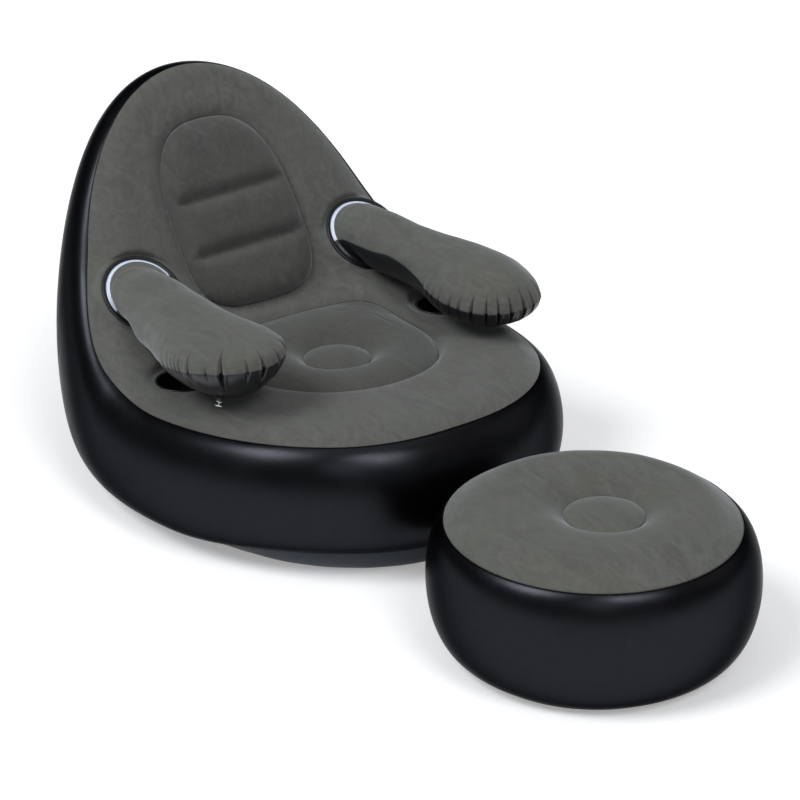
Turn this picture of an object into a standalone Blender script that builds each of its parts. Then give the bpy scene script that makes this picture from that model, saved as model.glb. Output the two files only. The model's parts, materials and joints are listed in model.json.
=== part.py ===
"""Inflatable lounge chair and its footstool, built from separate welded film pieces.

Metres, +Z up. The chair faces -Y and stands on z = 0, with the middle of its floor
sheet at the origin. The footstool stands in front of it on the same centre line.

Every inflated surface is a film of real thickness, held to its neighbours at welds.
Deck and backrest are one flocked sheet. It is laid out flat in two coordinates, x across
the chair and s along its centre line (0 where deck and backrest would cross), and then
bent over a hollow whose radius grows towards the arms.
"""
import math

import bpy
import numpy as np
from mathutils import Matrix, Vector
from mathutils.bvhtree import BVHTree
from mathutils.geometry import delaunay_2d_cdt

# Films, welds and clearances
FLOCK_FILM = 0.0010
PLAIN_FILM = 0.0006
GAP = 0.0003
EDGE_TRIM = 0.0009
GROOVE_TRIM = 0.00025
BEAD_RADIUS = 0.0015
BEAD_SINK = 0.0004
BEAD_SEAT = 0.0005
CUT_OVERRUN = 0.004

# Deck and backrest along the centre line
DECK_HEIGHT = 0.303
CREASE_Y = 0.129
BACK_ANGLE = math.radians(55)
CREASE_RADIUS = 0.060
BUCKET_RADIUS = 0.410
BUCKET_START_X = 0.120
BUCKET_END_X = 0.270

# Outline of the flocked sheet, flat
WIDEST_S = -0.046
DECK_HALF_WIDTH = 0.436
DECK_FRONT_LENGTH = 0.610
BACK_LENGTH = 0.626
BACK_HALF_WIDTH = 0.392
DECK_FRONT_POWER = 2.5

# How far the sheet falls to its weld, and over what slope
RIM_DROP = 0.012
SIDE_DROP = 0.038
SIDE_DROP_ANGLE = math.radians(98)
SIDE_DROP_POWER = 4
ROLL_ANGLE = math.radians(45)

# Chair wall and base
BASE_HALF_WIDTH = 0.450
BASE_HALF_LENGTH = 0.549
FRONT_WELD_HEIGHT = 0.058
SIDE_WELD_HEIGHT = 0.034
WELD_FALL_START = math.radians(32)
WELD_FALL_END = math.radians(73)
BAND_TUCK_WIDTH = 0.080
BAND_TUCK_LENGTH = 0.042
FLOOR_HALF_WIDTH = BASE_HALF_WIDTH - BAND_TUCK_WIDTH
FLOOR_HALF_LENGTH = BASE_HALF_LENGTH - BAND_TUCK_LENGTH
FLOOR_SHEET_BORDER = 0.004
BAND_BULGE = 0.003
FRONT_BULGE = 0.057
SIDE_BULGE = 0.052
BACK_BULGE = 0.100
SHOULDER_ANGLE = math.radians(80)
BULGE_POWER = 2.2
FRONT_LIFT_SHARE = -0.08
SIDE_LIFT_SHARE = -0.08
BACK_LIFT_SHARE = 0.20

# Seat, a ring cushion with a button in its middle
SEAT_S = -0.230
SEAT_HALF_WIDTH = 0.207
SEAT_FRONT_LENGTH = 0.203
SEAT_REAR_LENGTH = 0.213
SEAT_FRONT_POWER = 2.05
SEAT_REAR_POWER = 4.0
SEAT_FRONT_DEPTH = 0.030
SEAT_REAR_DEPTH = 0.008
SEAT_ROLL_WIDTH = 0.022
SEAT_CROWN = 0.004
SEAT_CROWN_POWER = 0.55
BUTTON_S = -0.225
BUTTON_RADIUS = 0.072
BUTTON_DEPTH = 0.024
BUTTON_DOME = 0.010

# Back cushion with two channels
CUSHION_S = 0.206
CUSHION_HALF_WIDTH = 0.157
CUSHION_LOWER_LENGTH = 0.172
CUSHION_UPPER_LENGTH = 0.250
CUSHION_LOWER_POWER = 3.4
CUSHION_UPPER_POWER = 2.6
CUSHION_WELD_DEPTH = 0.012
CUSHION_ROLL_WIDTH = 0.040
CUSHION_CROWN = 0.030
CUSHION_EDGE_WIDTH = 0.060
CHANNEL_PLACE_SHARES = (0.325, 0.615)
CHANNEL_DEPTH = 0.019
CHANNEL_WIDTH = 0.016
CHANNEL_END_GAP = 0.022
UPPER_LOBE_LINE_SHARES = (0.45, 0.70)

# Arm sockets
SOCKET_X = 0.2856
SOCKET_S = 0.1063
SOCKET_SINK = 0.004
SOCKET_RADIUS = 0.0904
SOCKET_BORE_RADIUS = 0.0822
SOCKET_HEIGHT = 0.0045
SOCKET_DEPTH = 0.006
SOCKET_ROUND = 0.0018
SOCKET_PAD_BORDER = 0.006
SOCKET_PAD_BLEND = 0.016

# Arms
ARM_COLLAR_LENGTH = 0.020
ARM_COLLAR_GAP = 0.0010
ARM_ROOT_RADIUS = 0.076
ARM_NECK_HALF_WIDTH = 0.078
ARM_NECK_HALF_HEIGHT = 0.059
ARM_HEAD_HALF_WIDTH = 0.113
ARM_HEAD_HALF_HEIGHT = 0.064
ARM_TIP_Y = -0.313
ARM_SPLAY = 0.038
ARM_SPLAY_SHARE = 0.6
ARM_TIP_FALL = 0.004
ARM_DECK_GAP = 0.031
ARM_AXIS_HEIGHT = DECK_HEIGHT + ARM_DECK_GAP + ARM_HEAD_HALF_HEIGHT + ARM_TIP_FALL
ARM_STRAIGHT_SHARE = 0.25
ARM_NECK_SHARE = 0.30
ARM_HEAD_SHARE = 0.75
ARM_TIP_SHARE = 0.70
ARM_TIP_POWER = 2.3
ROOT_DISC_THICKNESS = 0.0008

# Cup holders
CUP_X = 0.331
CUP_S = -0.156
CUP_SINK = 0.010
CUP_RADIUS = 0.056
CUP_BORE_RADIUS = 0.050
CUP_BASE_RADIUS = 0.046
CUP_DEPTH = 0.085
CUP_WALL = 0.0012
CUP_RIM_HEIGHT = 0.0025
CUP_RIM_DEPTH = 0.006
CUP_PAD_BORDER = 0.005
CUP_PAD_BLEND = 0.020

# Footstool
STOOL_Y = -0.951
STOOL_SEAM_RADIUS = 0.283
STOOL_SEAM_HEIGHT = 0.2615
STOOL_CROWN_HEIGHT = 0.299
STOOL_CROWN_SHARE = 0.42
STOOL_WELL_POWER = 3.0
STOOL_BASE_RADIUS = 0.246
STOOL_BASE_HEIGHT = 0.0045
STOOL_BULGE = 0.056
STOOL_BULGE_SHIFT = 0.006
STOOL_LIFT_SHARE = -0.08
STOOL_BUTTON_X = 0.012
STOOL_BUTTON_RADIUS = 0.079
STOOL_BUTTON_HEIGHT = 0.272
STOOL_BUTTON_DOME = 0.010
STOOL_SHEET_BORDER = 0.004

# Air valves: a large one for the chair, small ones for the arms and the footstool
BIG_FLANGE_RADIUS = 0.026
BIG_NECK_RADIUS = 0.015
BIG_BORE_RADIUS = 0.011
BIG_LIP = 0.007
BIG_PLUG_RADIUS = 0.018
SMALL_FLANGE_RADIUS = 0.010
SMALL_NECK_RADIUS = 0.0050
SMALL_BORE_RADIUS = 0.0032
SMALL_LIP = 0.006
SMALL_PLUG_RADIUS = 0.0055
FLANGE_THICKNESS = 0.0012
STEM_INSIDE = 0.012
PLUG_CAP = 0.0022
PLUG_PIN_SHARE = 0.75
HANDLE_LENGTH = 0.014
HANDLE_HEIGHT = 0.008
HANDLE_THICKNESS = 0.0022
HANDLE_SINK = 0.0010

# Ties inside
TIE_HALF_WIDTH = 0.105
TIE_HOLE_RADIUS = 0.018
TIE_HOLE_PLACE_SHARE = 0.5
WEB_COVER_SHARE = 0.72

# Mesh density
SEAM_SAMPLES = 52
FINE_SEAM_STEPS = 4
LOOP_STEPS = 24
MERGE_DISTANCE = 1e-7
WALL_ROWS = 6
SEAT_SAMPLES = 32
BUTTON_SAMPLES = 20
CUSHION_SAMPLES = 36
CUSHION_COLUMNS = 5
TIE_COLUMNS = 7
SOCKET_SAMPLES = 24
CUP_SAMPLES = 20
SHEET_SPACING = 0.070
SHEET_CLEAR_SHARE = 1 / 3
SHEET_ROW_OFFSETS = (0.020, 0.060)
HOLE_ROW_OFFSET = 0.020
TURNED_SEGMENTS = 24
VALVE_SEGMENTS = 10
STOOL_SEGMENTS = 34
ARM_STATION_SHARES = (0.0, 0.08, 0.18, 0.30, 0.43, 0.56, 0.68, 0.78, 0.87, 0.93, 0.975)
ARM_ANGLES = 9
ARM_VALVE_STATION_INDEX = 7
ARM_VALVE_STEP_INDEX = 2
CHAIR_VALVE_ROW_INDEX = 1
STOOL_VALVE_ROW_INDEX = 2
STOOL_VALVE_COLUMN_INDEX = 13
BAND_SHARES = (0.02, 0.35, 0.7, 1.0)
SEAT_ROW_SHARES = (0.0, 0.10, 0.26, 0.48, 0.70, 0.88, 1.0)
STOOL_ROW_SHARES = (0.0, 0.06, 0.18, 0.38, 0.62, 0.84, 1.0)
BUTTON_ROW_SHARES = (1.0, 0.8, 0.4)

FULL_TURN = 2 * math.pi
UP = Vector((0, 0, 1))
SIDES = (("left", -1), ("right", 1))
WEB_PLACES = ("front", "right", "rear", "left")
BOX_FACES = [(0, 2, 3, 1), (4, 5, 7, 6), (0, 1, 5, 4), (2, 6, 7, 3), (0, 4, 6, 2), (1, 3, 7, 5)]


# Materials

def make_material(name, color, roughness, metallic=0.0, alpha=1.0):
    """Return a Principled material with one plain finish."""
    material = bpy.data.materials.new(name)
    material.use_nodes = True
    shader = material.node_tree.nodes["Principled BSDF"]
    shader.inputs["Base Color"].default_value = (*color, 1.0)
    shader.inputs["Roughness"].default_value = roughness
    shader.inputs["Metallic"].default_value = metallic
    shader.inputs["Alpha"].default_value = alpha
    material.diffuse_color = (*color, alpha)
    return material


def make_materials():
    """Return the chair's finishes by name."""
    return {
        "flock": make_material("grey_flock", (0.085, 0.088, 0.080), 0.95),
        "arm_flock": make_material("arm_flock", (0.115, 0.120, 0.108), 0.95),
        "black": make_material("black_film", (0.012, 0.012, 0.014), 0.38),
        "band": make_material("base_film", (0.055, 0.065, 0.080), 0.42),
        "collar": make_material("pale_weld_edge", (0.55, 0.61, 0.72), 0.25),
        "weld": make_material("weld_bead", (0.010, 0.010, 0.011), 0.45),
        "inner": make_material("inner_film", (0.06, 0.06, 0.065), 0.50),
        "clear": make_material("clear_plug", (0.80, 0.82, 0.84), 0.15, alpha=0.5),
        "valve": make_material("valve_moulding", (0.030, 0.030, 0.032), 0.40),
    }


# Small helpers

def smooth(share):
    """Ease from 0 to 1 as share goes from 0 to 1."""
    held = np.clip(share, 0.0, 1.0)
    return held * held * (3 - 2 * held)


def circle_share(index, count):
    """Angle of one of count even steps round a circle."""
    return FULL_TURN * index / count


def add_object(name, points, faces, material, origin=None, parent=None):
    """Link one mesh object whose points are given in world places."""
    origin = Vector(origin) if origin is not None else Vector()
    mesh = bpy.data.meshes.new(name)
    mesh.from_pydata([Vector(point) - origin for point in points], [], faces)
    mesh.validate()
    mesh.materials.append(material)
    mesh.shade_smooth()
    obj = bpy.data.objects.new(name, mesh)
    bpy.context.collection.objects.link(obj)
    obj.location = origin
    if parent is not None:
        obj.parent = parent
        obj.location = origin - parent.location
    return obj


def add_pivot(name, place):
    """Empty that carries what turns about one joint."""
    pivot = bpy.data.objects.new(name, None)
    pivot.location = place
    bpy.context.collection.objects.link(pivot)
    return pivot


def thicken(obj, thickness, offset=-1.0):
    """Give a surface its film thickness, inwards unless told otherwise."""
    film = obj.modifiers.new("film", "SOLIDIFY")
    film.thickness = thickness
    film.offset = offset
    film.use_even_offset = True
    film.use_rim = True
    return obj


def cut(obj, cutter, name):
    """Take the cutter's shape out of an object."""
    cutter.hide_render = True
    cutter.display_type = "WIRE"
    hole = obj.modifiers.new(name, "BOOLEAN")
    hole.operation = "DIFFERENCE"
    hole.solver = "EXACT"
    hole.object = cutter


def strip_faces(rows, columns, closed, flip=False):
    """Triangles of a grid of rows, each row a run or a ring of columns."""
    faces = []
    steps = columns if closed else columns - 1
    for row in range(rows - 1):
        for column in range(steps):
            after = (column + 1) % columns
            a = row * columns + column
            b = row * columns + after
            c = a + columns
            d = b + columns
            pair = [(a, b, d), (a, d, c)]
            faces += [face[::-1] for face in pair] if flip else pair
    return faces


def turned(name, profile, frame, material, segments=TURNED_SEGMENTS, origin=None, parent=None):
    """Closed ring or disc turned about the frame's Z axis.

    The profile holds (radius, height) pairs of a loop that runs anticlockwise when the
    radius points right and the height up. Pairs on the axis share one point.
    """
    points = []
    rings = []
    for radius, height in profile:
        if radius == 0:
            rings.append([len(points)])
            points.append(frame @ Vector((0, 0, height)))
            continue
        rings.append(list(range(len(points), len(points) + segments)))
        for index in range(segments):
            angle = circle_share(index, segments)
            place = Vector((radius * math.cos(angle), radius * math.sin(angle), height))
            points.append(frame @ place)
    faces = []
    for index, ring in enumerate(rings):
        other = rings[(index + 1) % len(rings)]
        if len(ring) == 1 and len(other) == 1:
            continue
        for step in range(segments):
            after = (step + 1) % segments
            if len(ring) == 1:
                faces.append((ring[0], other[step], other[after]))
            elif len(other) == 1:
                faces.append((ring[after], ring[step], other[0]))
            else:
                faces.append((ring[step], other[step], other[after]))
                faces.append((ring[step], other[after], ring[after]))
    faces = [face[::-1] for face in faces]
    obj = add_object(name, points, faces, material, origin, parent)
    obj.data.set_sharp_from_angle(angle=ROLL_ANGLE)
    return obj


def standing_frame(place, normal):
    """Matrix whose Z axis follows the normal, with its origin at the place."""
    turn = Vector(normal).normalized().to_track_quat("Z", "Y").to_matrix().to_4x4()
    return Matrix.Translation(Vector(place)) @ turn


# The bent sheet

def bucket_radius(x):
    """Radius of the bend between deck and backrest, at one distance from the middle."""
    share = (abs(x) - BUCKET_START_X) / (BUCKET_END_X - BUCKET_START_X)
    return CREASE_RADIUS + (BUCKET_RADIUS - CREASE_RADIUS) * float(smooth(share))


def bend(x, s):
    """Place on the bare bent sheet and the angle that the sheet has climbed there."""
    radius = bucket_radius(x)
    reach = radius * math.tan(BACK_ANGLE / 2)
    if s <= -reach:
        return Vector((x, CREASE_Y + s, DECK_HEIGHT)), 0.0
    if s >= reach:
        along = Vector((0, math.cos(BACK_ANGLE), math.sin(BACK_ANGLE)))
        return Vector((x, CREASE_Y, DECK_HEIGHT)) + along * s, BACK_ANGLE
    climb = BACK_ANGLE * (s + reach) / (2 * reach)
    y = CREASE_Y - reach + radius * math.sin(climb)
    z = DECK_HEIGHT + radius * (1 - math.cos(climb))
    return Vector((x, y, z)), climb


def sheet_normal(climb):
    """Outward direction of the sheet where it has climbed by an angle."""
    return Vector((0, -math.sin(climb), math.cos(climb)))


def two_ended_oval(angle, half_width, front, rear, front_power, rear_power):
    """Point of an oval whose front and rear halves differ, angle 0 at the front."""
    ahead = math.cos(angle) >= 0
    power = front_power if ahead else rear_power
    length = front if ahead else rear
    sine = math.sin(angle)
    cosine = math.cos(angle)
    x = half_width * math.copysign(abs(sine) ** (2 / power), sine)
    y = -length * math.copysign(abs(cosine) ** (2 / power), cosine)
    return x, y


def sheet_outline_point(angle):
    """Flat place of the flocked sheet's weld, angle 0 at the front and half a turn on top."""
    if math.cos(angle) >= 0:
        x, y = two_ended_oval(angle, DECK_HALF_WIDTH, DECK_FRONT_LENGTH, BACK_LENGTH,
                              DECK_FRONT_POWER, DECK_FRONT_POWER)
        return x, WIDEST_S + y
    climb = -math.cos(angle)
    half_width = DECK_HALF_WIDTH + (BACK_HALF_WIDTH - DECK_HALF_WIDTH) * float(smooth(2 * climb))
    return half_width * math.sin(angle), WIDEST_S + BACK_LENGTH * climb


def sheet_drop(angle):
    """How far the sheet has fallen where it reaches its weld."""
    turn = math.acos(max(-1.0, min(1.0, math.cos(angle))))
    return RIM_DROP + SIDE_DROP * max(0.0, math.cos(turn - SIDE_DROP_ANGLE)) ** SIDE_DROP_POWER


def seat_depth(angle):
    """How far the seat's weld lies under the bare bend, deepest at the front."""
    ahead = (1 + math.cos(angle)) / 2
    return SEAT_REAR_DEPTH + (SEAT_FRONT_DEPTH - SEAT_REAR_DEPTH) * ahead


def seat_outline_point(angle):
    """Flat place of the seat cushion's weld."""
    x, y = two_ended_oval(angle, SEAT_HALF_WIDTH, SEAT_FRONT_LENGTH, SEAT_REAR_LENGTH,
                          SEAT_FRONT_POWER, SEAT_REAR_POWER)
    return x, SEAT_S + y


def cushion_outline_point(angle):
    """Flat place of the back cushion's weld."""
    x, y = two_ended_oval(angle, CUSHION_HALF_WIDTH, CUSHION_LOWER_LENGTH, CUSHION_UPPER_LENGTH,
                          CUSHION_LOWER_POWER, CUSHION_UPPER_POWER)
    return x, CUSHION_S + y


def button_outline_point(angle):
    """Flat place of the seat button's weld."""
    return BUTTON_RADIUS * math.sin(angle), BUTTON_S - BUTTON_RADIUS * math.cos(angle)


def even_loop(outline, count, angles=False):
    """Points of a closed outline, spaced evenly along its length, as an array."""
    total = LOOP_STEPS * count
    fine = [circle_share(index, total) for index in range(total)]
    places = np.array([outline(angle) for angle in fine])
    steps = np.linalg.norm(np.roll(places, -1, axis=0) - places, axis=1)
    length = np.concatenate([[0], np.cumsum(steps)])
    marks = length[-1] * np.arange(count) / count
    picked = np.interp(marks, length[:-1], np.array(fine))
    loop = np.array([outline(angle) for angle in picked])
    return (loop, picked) if angles else loop


def round_hole(x, s, radius, count):
    """Corners of an even polygon on the flat sheet that clears a round piece of as many sides."""
    reach = radius + 2 * GAP
    return np.array([(x + reach * math.sin(circle_share(index, count)),
                      s - reach * math.cos(circle_share(index, count))) for index in range(count)])


def grown(loop, distance):
    """Loop moved outwards by a distance, for a loop that runs anticlockwise."""
    before = np.roll(loop, 1, axis=0)
    after = np.roll(loop, -1, axis=0)
    along = after - before
    along /= np.linalg.norm(along, axis=1)[:, None]
    outward = np.stack([along[:, 1], -along[:, 0]], axis=1)
    return loop + outward * distance


def inside(loop, place):
    """Whether a flat place lies inside a loop."""
    x, y = place
    ends = np.roll(loop, -1, axis=0)
    crosses = (loop[:, 1] > y) != (ends[:, 1] > y)
    rise = np.where(crosses, ends[:, 1] - loop[:, 1], 1.0)
    meets = loop[:, 0] + (y - loop[:, 1]) * (ends[:, 0] - loop[:, 0]) / rise
    return bool(np.count_nonzero(crosses & (x < meets)) % 2)


def distance_to(loop, place):
    """Distance from a flat place to a loop, and the loop's place nearest to it in steps."""
    ends = np.roll(loop, -1, axis=0)
    span = ends - loop
    share = ((place - loop) * span).sum(axis=1) / (span * span).sum(axis=1)
    share = np.clip(share, 0.0, 1.0)
    gaps = np.linalg.norm(loop + span * share[:, None] - place, axis=1)
    nearest = int(gaps.argmin())
    return float(gaps[nearest]), nearest + float(share[nearest])


def roll(distance, drop, width):
    """Height under the sheet of an edge that rolls down over a width, at a distance from it."""
    if distance >= width:
        return 0.0
    if drop >= width:
        return -drop * (1 - math.sqrt(1 - (1 - distance / width) ** 2))
    slope = 2 * math.atan(drop / width)
    radius = width / math.sin(slope)
    return -radius * (1 - math.sqrt(1 - ((width - distance) / radius) ** 2))


class BentSheet:
    """The flocked sheet's shape: welds, rolled edges and the flat pads round its holes."""

    def __init__(self):
        self.seam, self.seam_angles = even_loop(sheet_outline_point, SEAM_SAMPLES, angles=True)
        self.fine_seam, self.fine_angles = even_loop(sheet_outline_point, FINE_SEAM_STEPS * SEAM_SAMPLES,
                                                     angles=True)
        self.seat, self.seat_angles = even_loop(seat_outline_point, SEAT_SAMPLES, angles=True)
        self.cushion = even_loop(cushion_outline_point, CUSHION_SAMPLES)
        self.pads = []
        for _, side in SIDES:
            self.pads.append(self.make_pad(side * SOCKET_X, SOCKET_S, None, SOCKET_RADIUS,
                                           SOCKET_PAD_BORDER, SOCKET_PAD_BLEND, SOCKET_SINK))
            self.pads.append(self.make_pad(side * CUP_X, CUP_S, 0.0, CUP_RADIUS,
                                           CUP_PAD_BORDER, CUP_PAD_BLEND, CUP_SINK))

    def make_pad(self, x, s, climb, radius, border, blend, sink):
        """Flat round place that a socket or a cup holder is set into."""
        centre, sheet_climb = bend(x, s)
        climb = sheet_climb if climb is None else climb
        normal = sheet_normal(climb)
        return {"x": x, "s": s, "centre": centre - normal * sink, "normal": normal,
                "along": Vector((0, math.cos(climb), math.sin(climb))),
                "flat": radius + border, "blend": blend}

    def seam_roll(self, place):
        """Height of the sheet near its outer weld."""
        distance, step = distance_to(self.fine_seam, place)
        angle = self.fine_angles[int(step) % len(self.fine_angles)]
        drop = sheet_drop(angle)
        return roll(distance, drop, drop / math.tan(ROLL_ANGLE / 2))

    def relief(self, place):
        """Height of the flocked sheet over the bare bend."""
        height = self.seam_roll(place)
        distance, step = distance_to(self.seat, place)
        if inside(self.seat, place):
            distance = 0.0
        depth = seat_depth(self.seat_angles[int(round(step)) % len(self.seat_angles)])
        height += roll(distance, depth, SEAT_ROLL_WIDTH)
        distance, _ = distance_to(self.cushion, place)
        if inside(self.cushion, place):
            distance = 0.0
        return height + roll(distance, CUSHION_WELD_DEPTH, CUSHION_ROLL_WIDTH)

    def point(self, place, height=None):
        """World place of a flat place at a height over the bare bend."""
        place = np.asarray(place, dtype=float)
        if height is None:
            height = self.relief(place)
        base, climb = bend(place[0], place[1])
        world = base + sheet_normal(climb) * height
        for pad in self.pads:
            away = math.hypot(place[0] - pad["x"], place[1] - pad["s"])
            hold = 1 - float(smooth((away - pad["flat"]) / pad["blend"]))
            if hold > 0:
                level = pad["centre"] + Vector((place[0] - pad["x"], 0, 0))
                level += pad["along"] * (place[1] - pad["s"])
                world = world.lerp(level, hold)
        return world


# Flocked pieces of the chair

def filled_sheet(outline, holes, extra):
    """Triangulate a flat outline with holes and extra points inside it."""
    loops = [outline, *holes]
    points = []
    edges = []
    for loop in loops:
        start = len(points)
        points += [tuple(place) for place in loop]
        edges += [(start + step, start + (step + 1) % len(loop)) for step in range(len(loop))]
    points += [tuple(place) for place in extra]
    vectors = [Vector(place) for place in points]
    out = delaunay_2d_cdt(vectors, edges, [], 0, MERGE_DISTANCE)
    places = np.array([tuple(vertex) for vertex in out[0]])
    faces = []
    for face in out[2]:
        middle = places[list(face)].mean(axis=0)
        if inside(outline, middle) and not any(inside(hole, middle) for hole in holes):
            a, b, c = places[list(face)]
            area = (b[0] - a[0]) * (c[1] - a[1]) - (b[1] - a[1]) * (c[0] - a[0])
            faces.append(tuple(face) if area > 0 else tuple(face)[::-1])
    return places, faces


def deck_cover(sheet, finishes):
    """Flocked sheet of deck and backrest, with holes for what is welded into it."""
    outline = grown(sheet.seam, -EDGE_TRIM)
    seat = grown(sheet.seat, GROOVE_TRIM)
    cushion = grown(sheet.cushion, GROOVE_TRIM)
    holes = [seat, cushion]
    rows = []
    for offset in SHEET_ROW_OFFSETS:
        rows.append(grown(sheet.seam, -offset))
    rows.append(grown(sheet.seat, HOLE_ROW_OFFSET))
    rows.append(grown(sheet.cushion, HOLE_ROW_OFFSET))
    for _, side in SIDES:
        socket = round_hole(side * SOCKET_X, SOCKET_S, SOCKET_RADIUS, SOCKET_SAMPLES)
        cup = round_hole(side * CUP_X, CUP_S, CUP_RADIUS, CUP_SAMPLES)
        holes += [socket, cup]
        rows += [grown(socket, SOCKET_PAD_BORDER), grown(socket, SOCKET_PAD_BORDER + SOCKET_PAD_BLEND)]
        rows += [grown(cup, CUP_PAD_BORDER), grown(cup, CUP_PAD_BORDER + CUP_PAD_BLEND)]
    extra = []
    clear = SHEET_SPACING * SHEET_CLEAR_SHARE
    for row in rows:
        extra += [place for place in row
                  if inside(outline, place) and not any(inside(hole, place) for hole in holes)
                  and min(distance_to(loop, place)[0] for loop in (outline, *holes)) > CUP_PAD_BORDER / 2]
    taken = np.array(extra)
    low = sheet.seam.min(axis=0)
    high = sheet.seam.max(axis=0)
    columns = int((high[0] - low[0]) / SHEET_SPACING) + 1
    lines = int((high[1] - low[1]) / SHEET_SPACING) + 1
    for line in range(lines):
        for column in range(-columns, columns + 1):
            shift = 0.5 * (line % 2)
            place = np.array([(column + shift) * SHEET_SPACING, low[1] + (line + 1) * SHEET_SPACING])
            if not inside(outline, place) or any(inside(hole, place) for hole in holes):
                continue
            gaps = [distance_to(loop, place)[0] for loop in (outline, *holes)]
            if min(gaps) < clear or np.linalg.norm(taken - place, axis=1).min() < clear * 2:
                continue
            extra.append(place)
    places, faces = filled_sheet(outline, holes, extra)
    points = [sheet.point(place) for place in places]
    return thicken(add_object("deck_cover", points, faces, finishes["flock"]), FLOCK_FILM)


def seat_height(share, depth):
    """Height of the seat ring from its weld, share 0, to the button's weld, share 1."""
    rise = math.sin(math.pi * share) ** SEAT_CROWN_POWER
    floor = -depth + (depth - BUTTON_DEPTH) * float(smooth(share))
    return floor + (SEAT_CROWN + (depth + BUTTON_DEPTH) / 2) * rise


def seat_cushion(sheet, finishes):
    """Flocked ring cushion of the seat."""
    outer = grown(sheet.seat, -GROOVE_TRIM)
    centre = np.array([0.0, BUTTON_S])
    away = sheet.seat - centre
    away /= np.linalg.norm(away, axis=1)[:, None]
    inner = centre + away * (BUTTON_RADIUS + GROOVE_TRIM)
    points = []
    for share in SEAT_ROW_SHARES:
        for start, end, angle in zip(outer, inner, sheet.seat_angles):
            place = start + (end - start) * share
            points.append(sheet.point(place, seat_height(share, seat_depth(angle))))
    faces = strip_faces(len(SEAT_ROW_SHARES), len(outer), closed=True)
    return thicken(add_object("seat_cushion", points, faces, finishes["flock"]), FLOCK_FILM)


def domed_disc(name, place_of, material, origin=None, parent=None):
    """Round flocked film; place_of gives the place at an angle and a share of its radius."""
    count = BUTTON_SAMPLES
    points = []
    for share in BUTTON_ROW_SHARES:
        points += [place_of(circle_share(index, count), share) for index in range(count)]
    points.append(place_of(0.0, 0.0))
    faces = strip_faces(len(BUTTON_ROW_SHARES), count, closed=True)
    last = (len(BUTTON_ROW_SHARES) - 1) * count
    faces += [(last + index, last + (index + 1) % count, len(points) - 1) for index in range(count)]
    return thicken(add_object(name, points, faces, material, origin, parent), FLOCK_FILM)


def seat_button(sheet, finishes):
    """Domed flocked button in the middle of the seat ring."""
    radius = BUTTON_RADIUS - GROOVE_TRIM

    def place_of(angle, share):
        away = radius * share
        flat = (away * math.sin(angle), BUTTON_S - away * math.cos(angle))
        return sheet.point(flat, -BUTTON_DEPTH + BUTTON_DOME * (1 - share ** 2))

    return domed_disc("seat_button", place_of, finishes["flock"])


def channel_places():
    """Flat places s of the back cushion's two channels."""
    low = CUSHION_S - CUSHION_LOWER_LENGTH
    length = CUSHION_LOWER_LENGTH + CUSHION_UPPER_LENGTH
    return [low + share * length for share in CHANNEL_PLACE_SHARES]


def cushion_height(sheet, place):
    """Height of the back cushion over the bare bend."""
    distance, _ = distance_to(sheet.cushion, place)
    rise = math.sqrt(1 - (1 - min(distance / CUSHION_EDGE_WIDTH, 1.0)) ** 2)
    height = -CUSHION_WELD_DEPTH + CUSHION_CROWN * rise
    for s in channel_places():
        fall = math.exp(-((place[1] - s) / CHANNEL_WIDTH) ** 2)
        hold = float(smooth((distance - CHANNEL_END_GAP) / CHANNEL_END_GAP))
        height -= CHANNEL_DEPTH * fall * hold
    return height


def back_cushion(sheet, finishes):
    """Flocked egg-shaped back cushion with its three lobes."""
    outline = grown(sheet.cushion, -GROOVE_TRIM)
    rows = [grown(sheet.cushion, -CUSHION_EDGE_WIDTH / 5)]
    extra = list(rows[0])
    upper = CUSHION_S + CUSHION_UPPER_LENGTH
    lower = CUSHION_S - CUSHION_LOWER_LENGTH
    lines = {(lower + channel_places()[0]) / 2, sum(channel_places()) / 2}
    lines |= {channel_places()[1] + (upper - channel_places()[1]) * share for share in UPPER_LOBE_LINE_SHARES}
    for s in channel_places():
        lines |= {s, s - CHANNEL_WIDTH, s + CHANNEL_WIDTH, s - 2 * CHANNEL_WIDTH, s + 2 * CHANNEL_WIDTH}
    columns = CUSHION_COLUMNS
    step = CUSHION_HALF_WIDTH / (columns + 1)
    for s in sorted(lines):
        for column in range(-columns, columns + 1):
            place = np.array([column * step, s])
            if inside(outline, place) and distance_to(rows[0], place)[0] > step / 3 \
                    and inside(rows[0], place):
                extra.append(place)
    places, faces = filled_sheet(outline, [], extra)
    points = [sheet.point(place, cushion_height(sheet, place)) for place in places]
    return thicken(add_object("back_cushion", points, faces, finishes["flock"]), FLOCK_FILM)


# Wall and base of the chair

def oval_point(half_width, half_length, angle, height):
    """Place on a level oval about the chair's middle, angle 0 at the front."""
    return Vector((half_width * math.sin(angle), -half_length * math.cos(angle), height))


def front_share(angle):
    """How far the base has its front's shape at an angle: 1 at the front, 0 at sides and back."""
    start = math.cos(WELD_FALL_START)
    end = math.cos(WELD_FALL_END)
    return float(smooth((math.cos(angle) - end) / (start - end)))


def weld_height(angle):
    """Height of the base weld, which falls from the front to the sides."""
    return SIDE_WELD_HEIGHT + (FRONT_WELD_HEIGHT - SIDE_WELD_HEIGHT) * front_share(angle)


def base_point(angle):
    """Place on the base weld."""
    return oval_point(BASE_HALF_WIDTH, BASE_HALF_LENGTH, angle, weld_height(angle))


def base_outward(angle):
    """Level outward direction of the base oval."""
    return Vector((math.sin(angle) / BASE_HALF_WIDTH, -math.cos(angle) / BASE_HALF_LENGTH, 0)).normalized()


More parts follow.
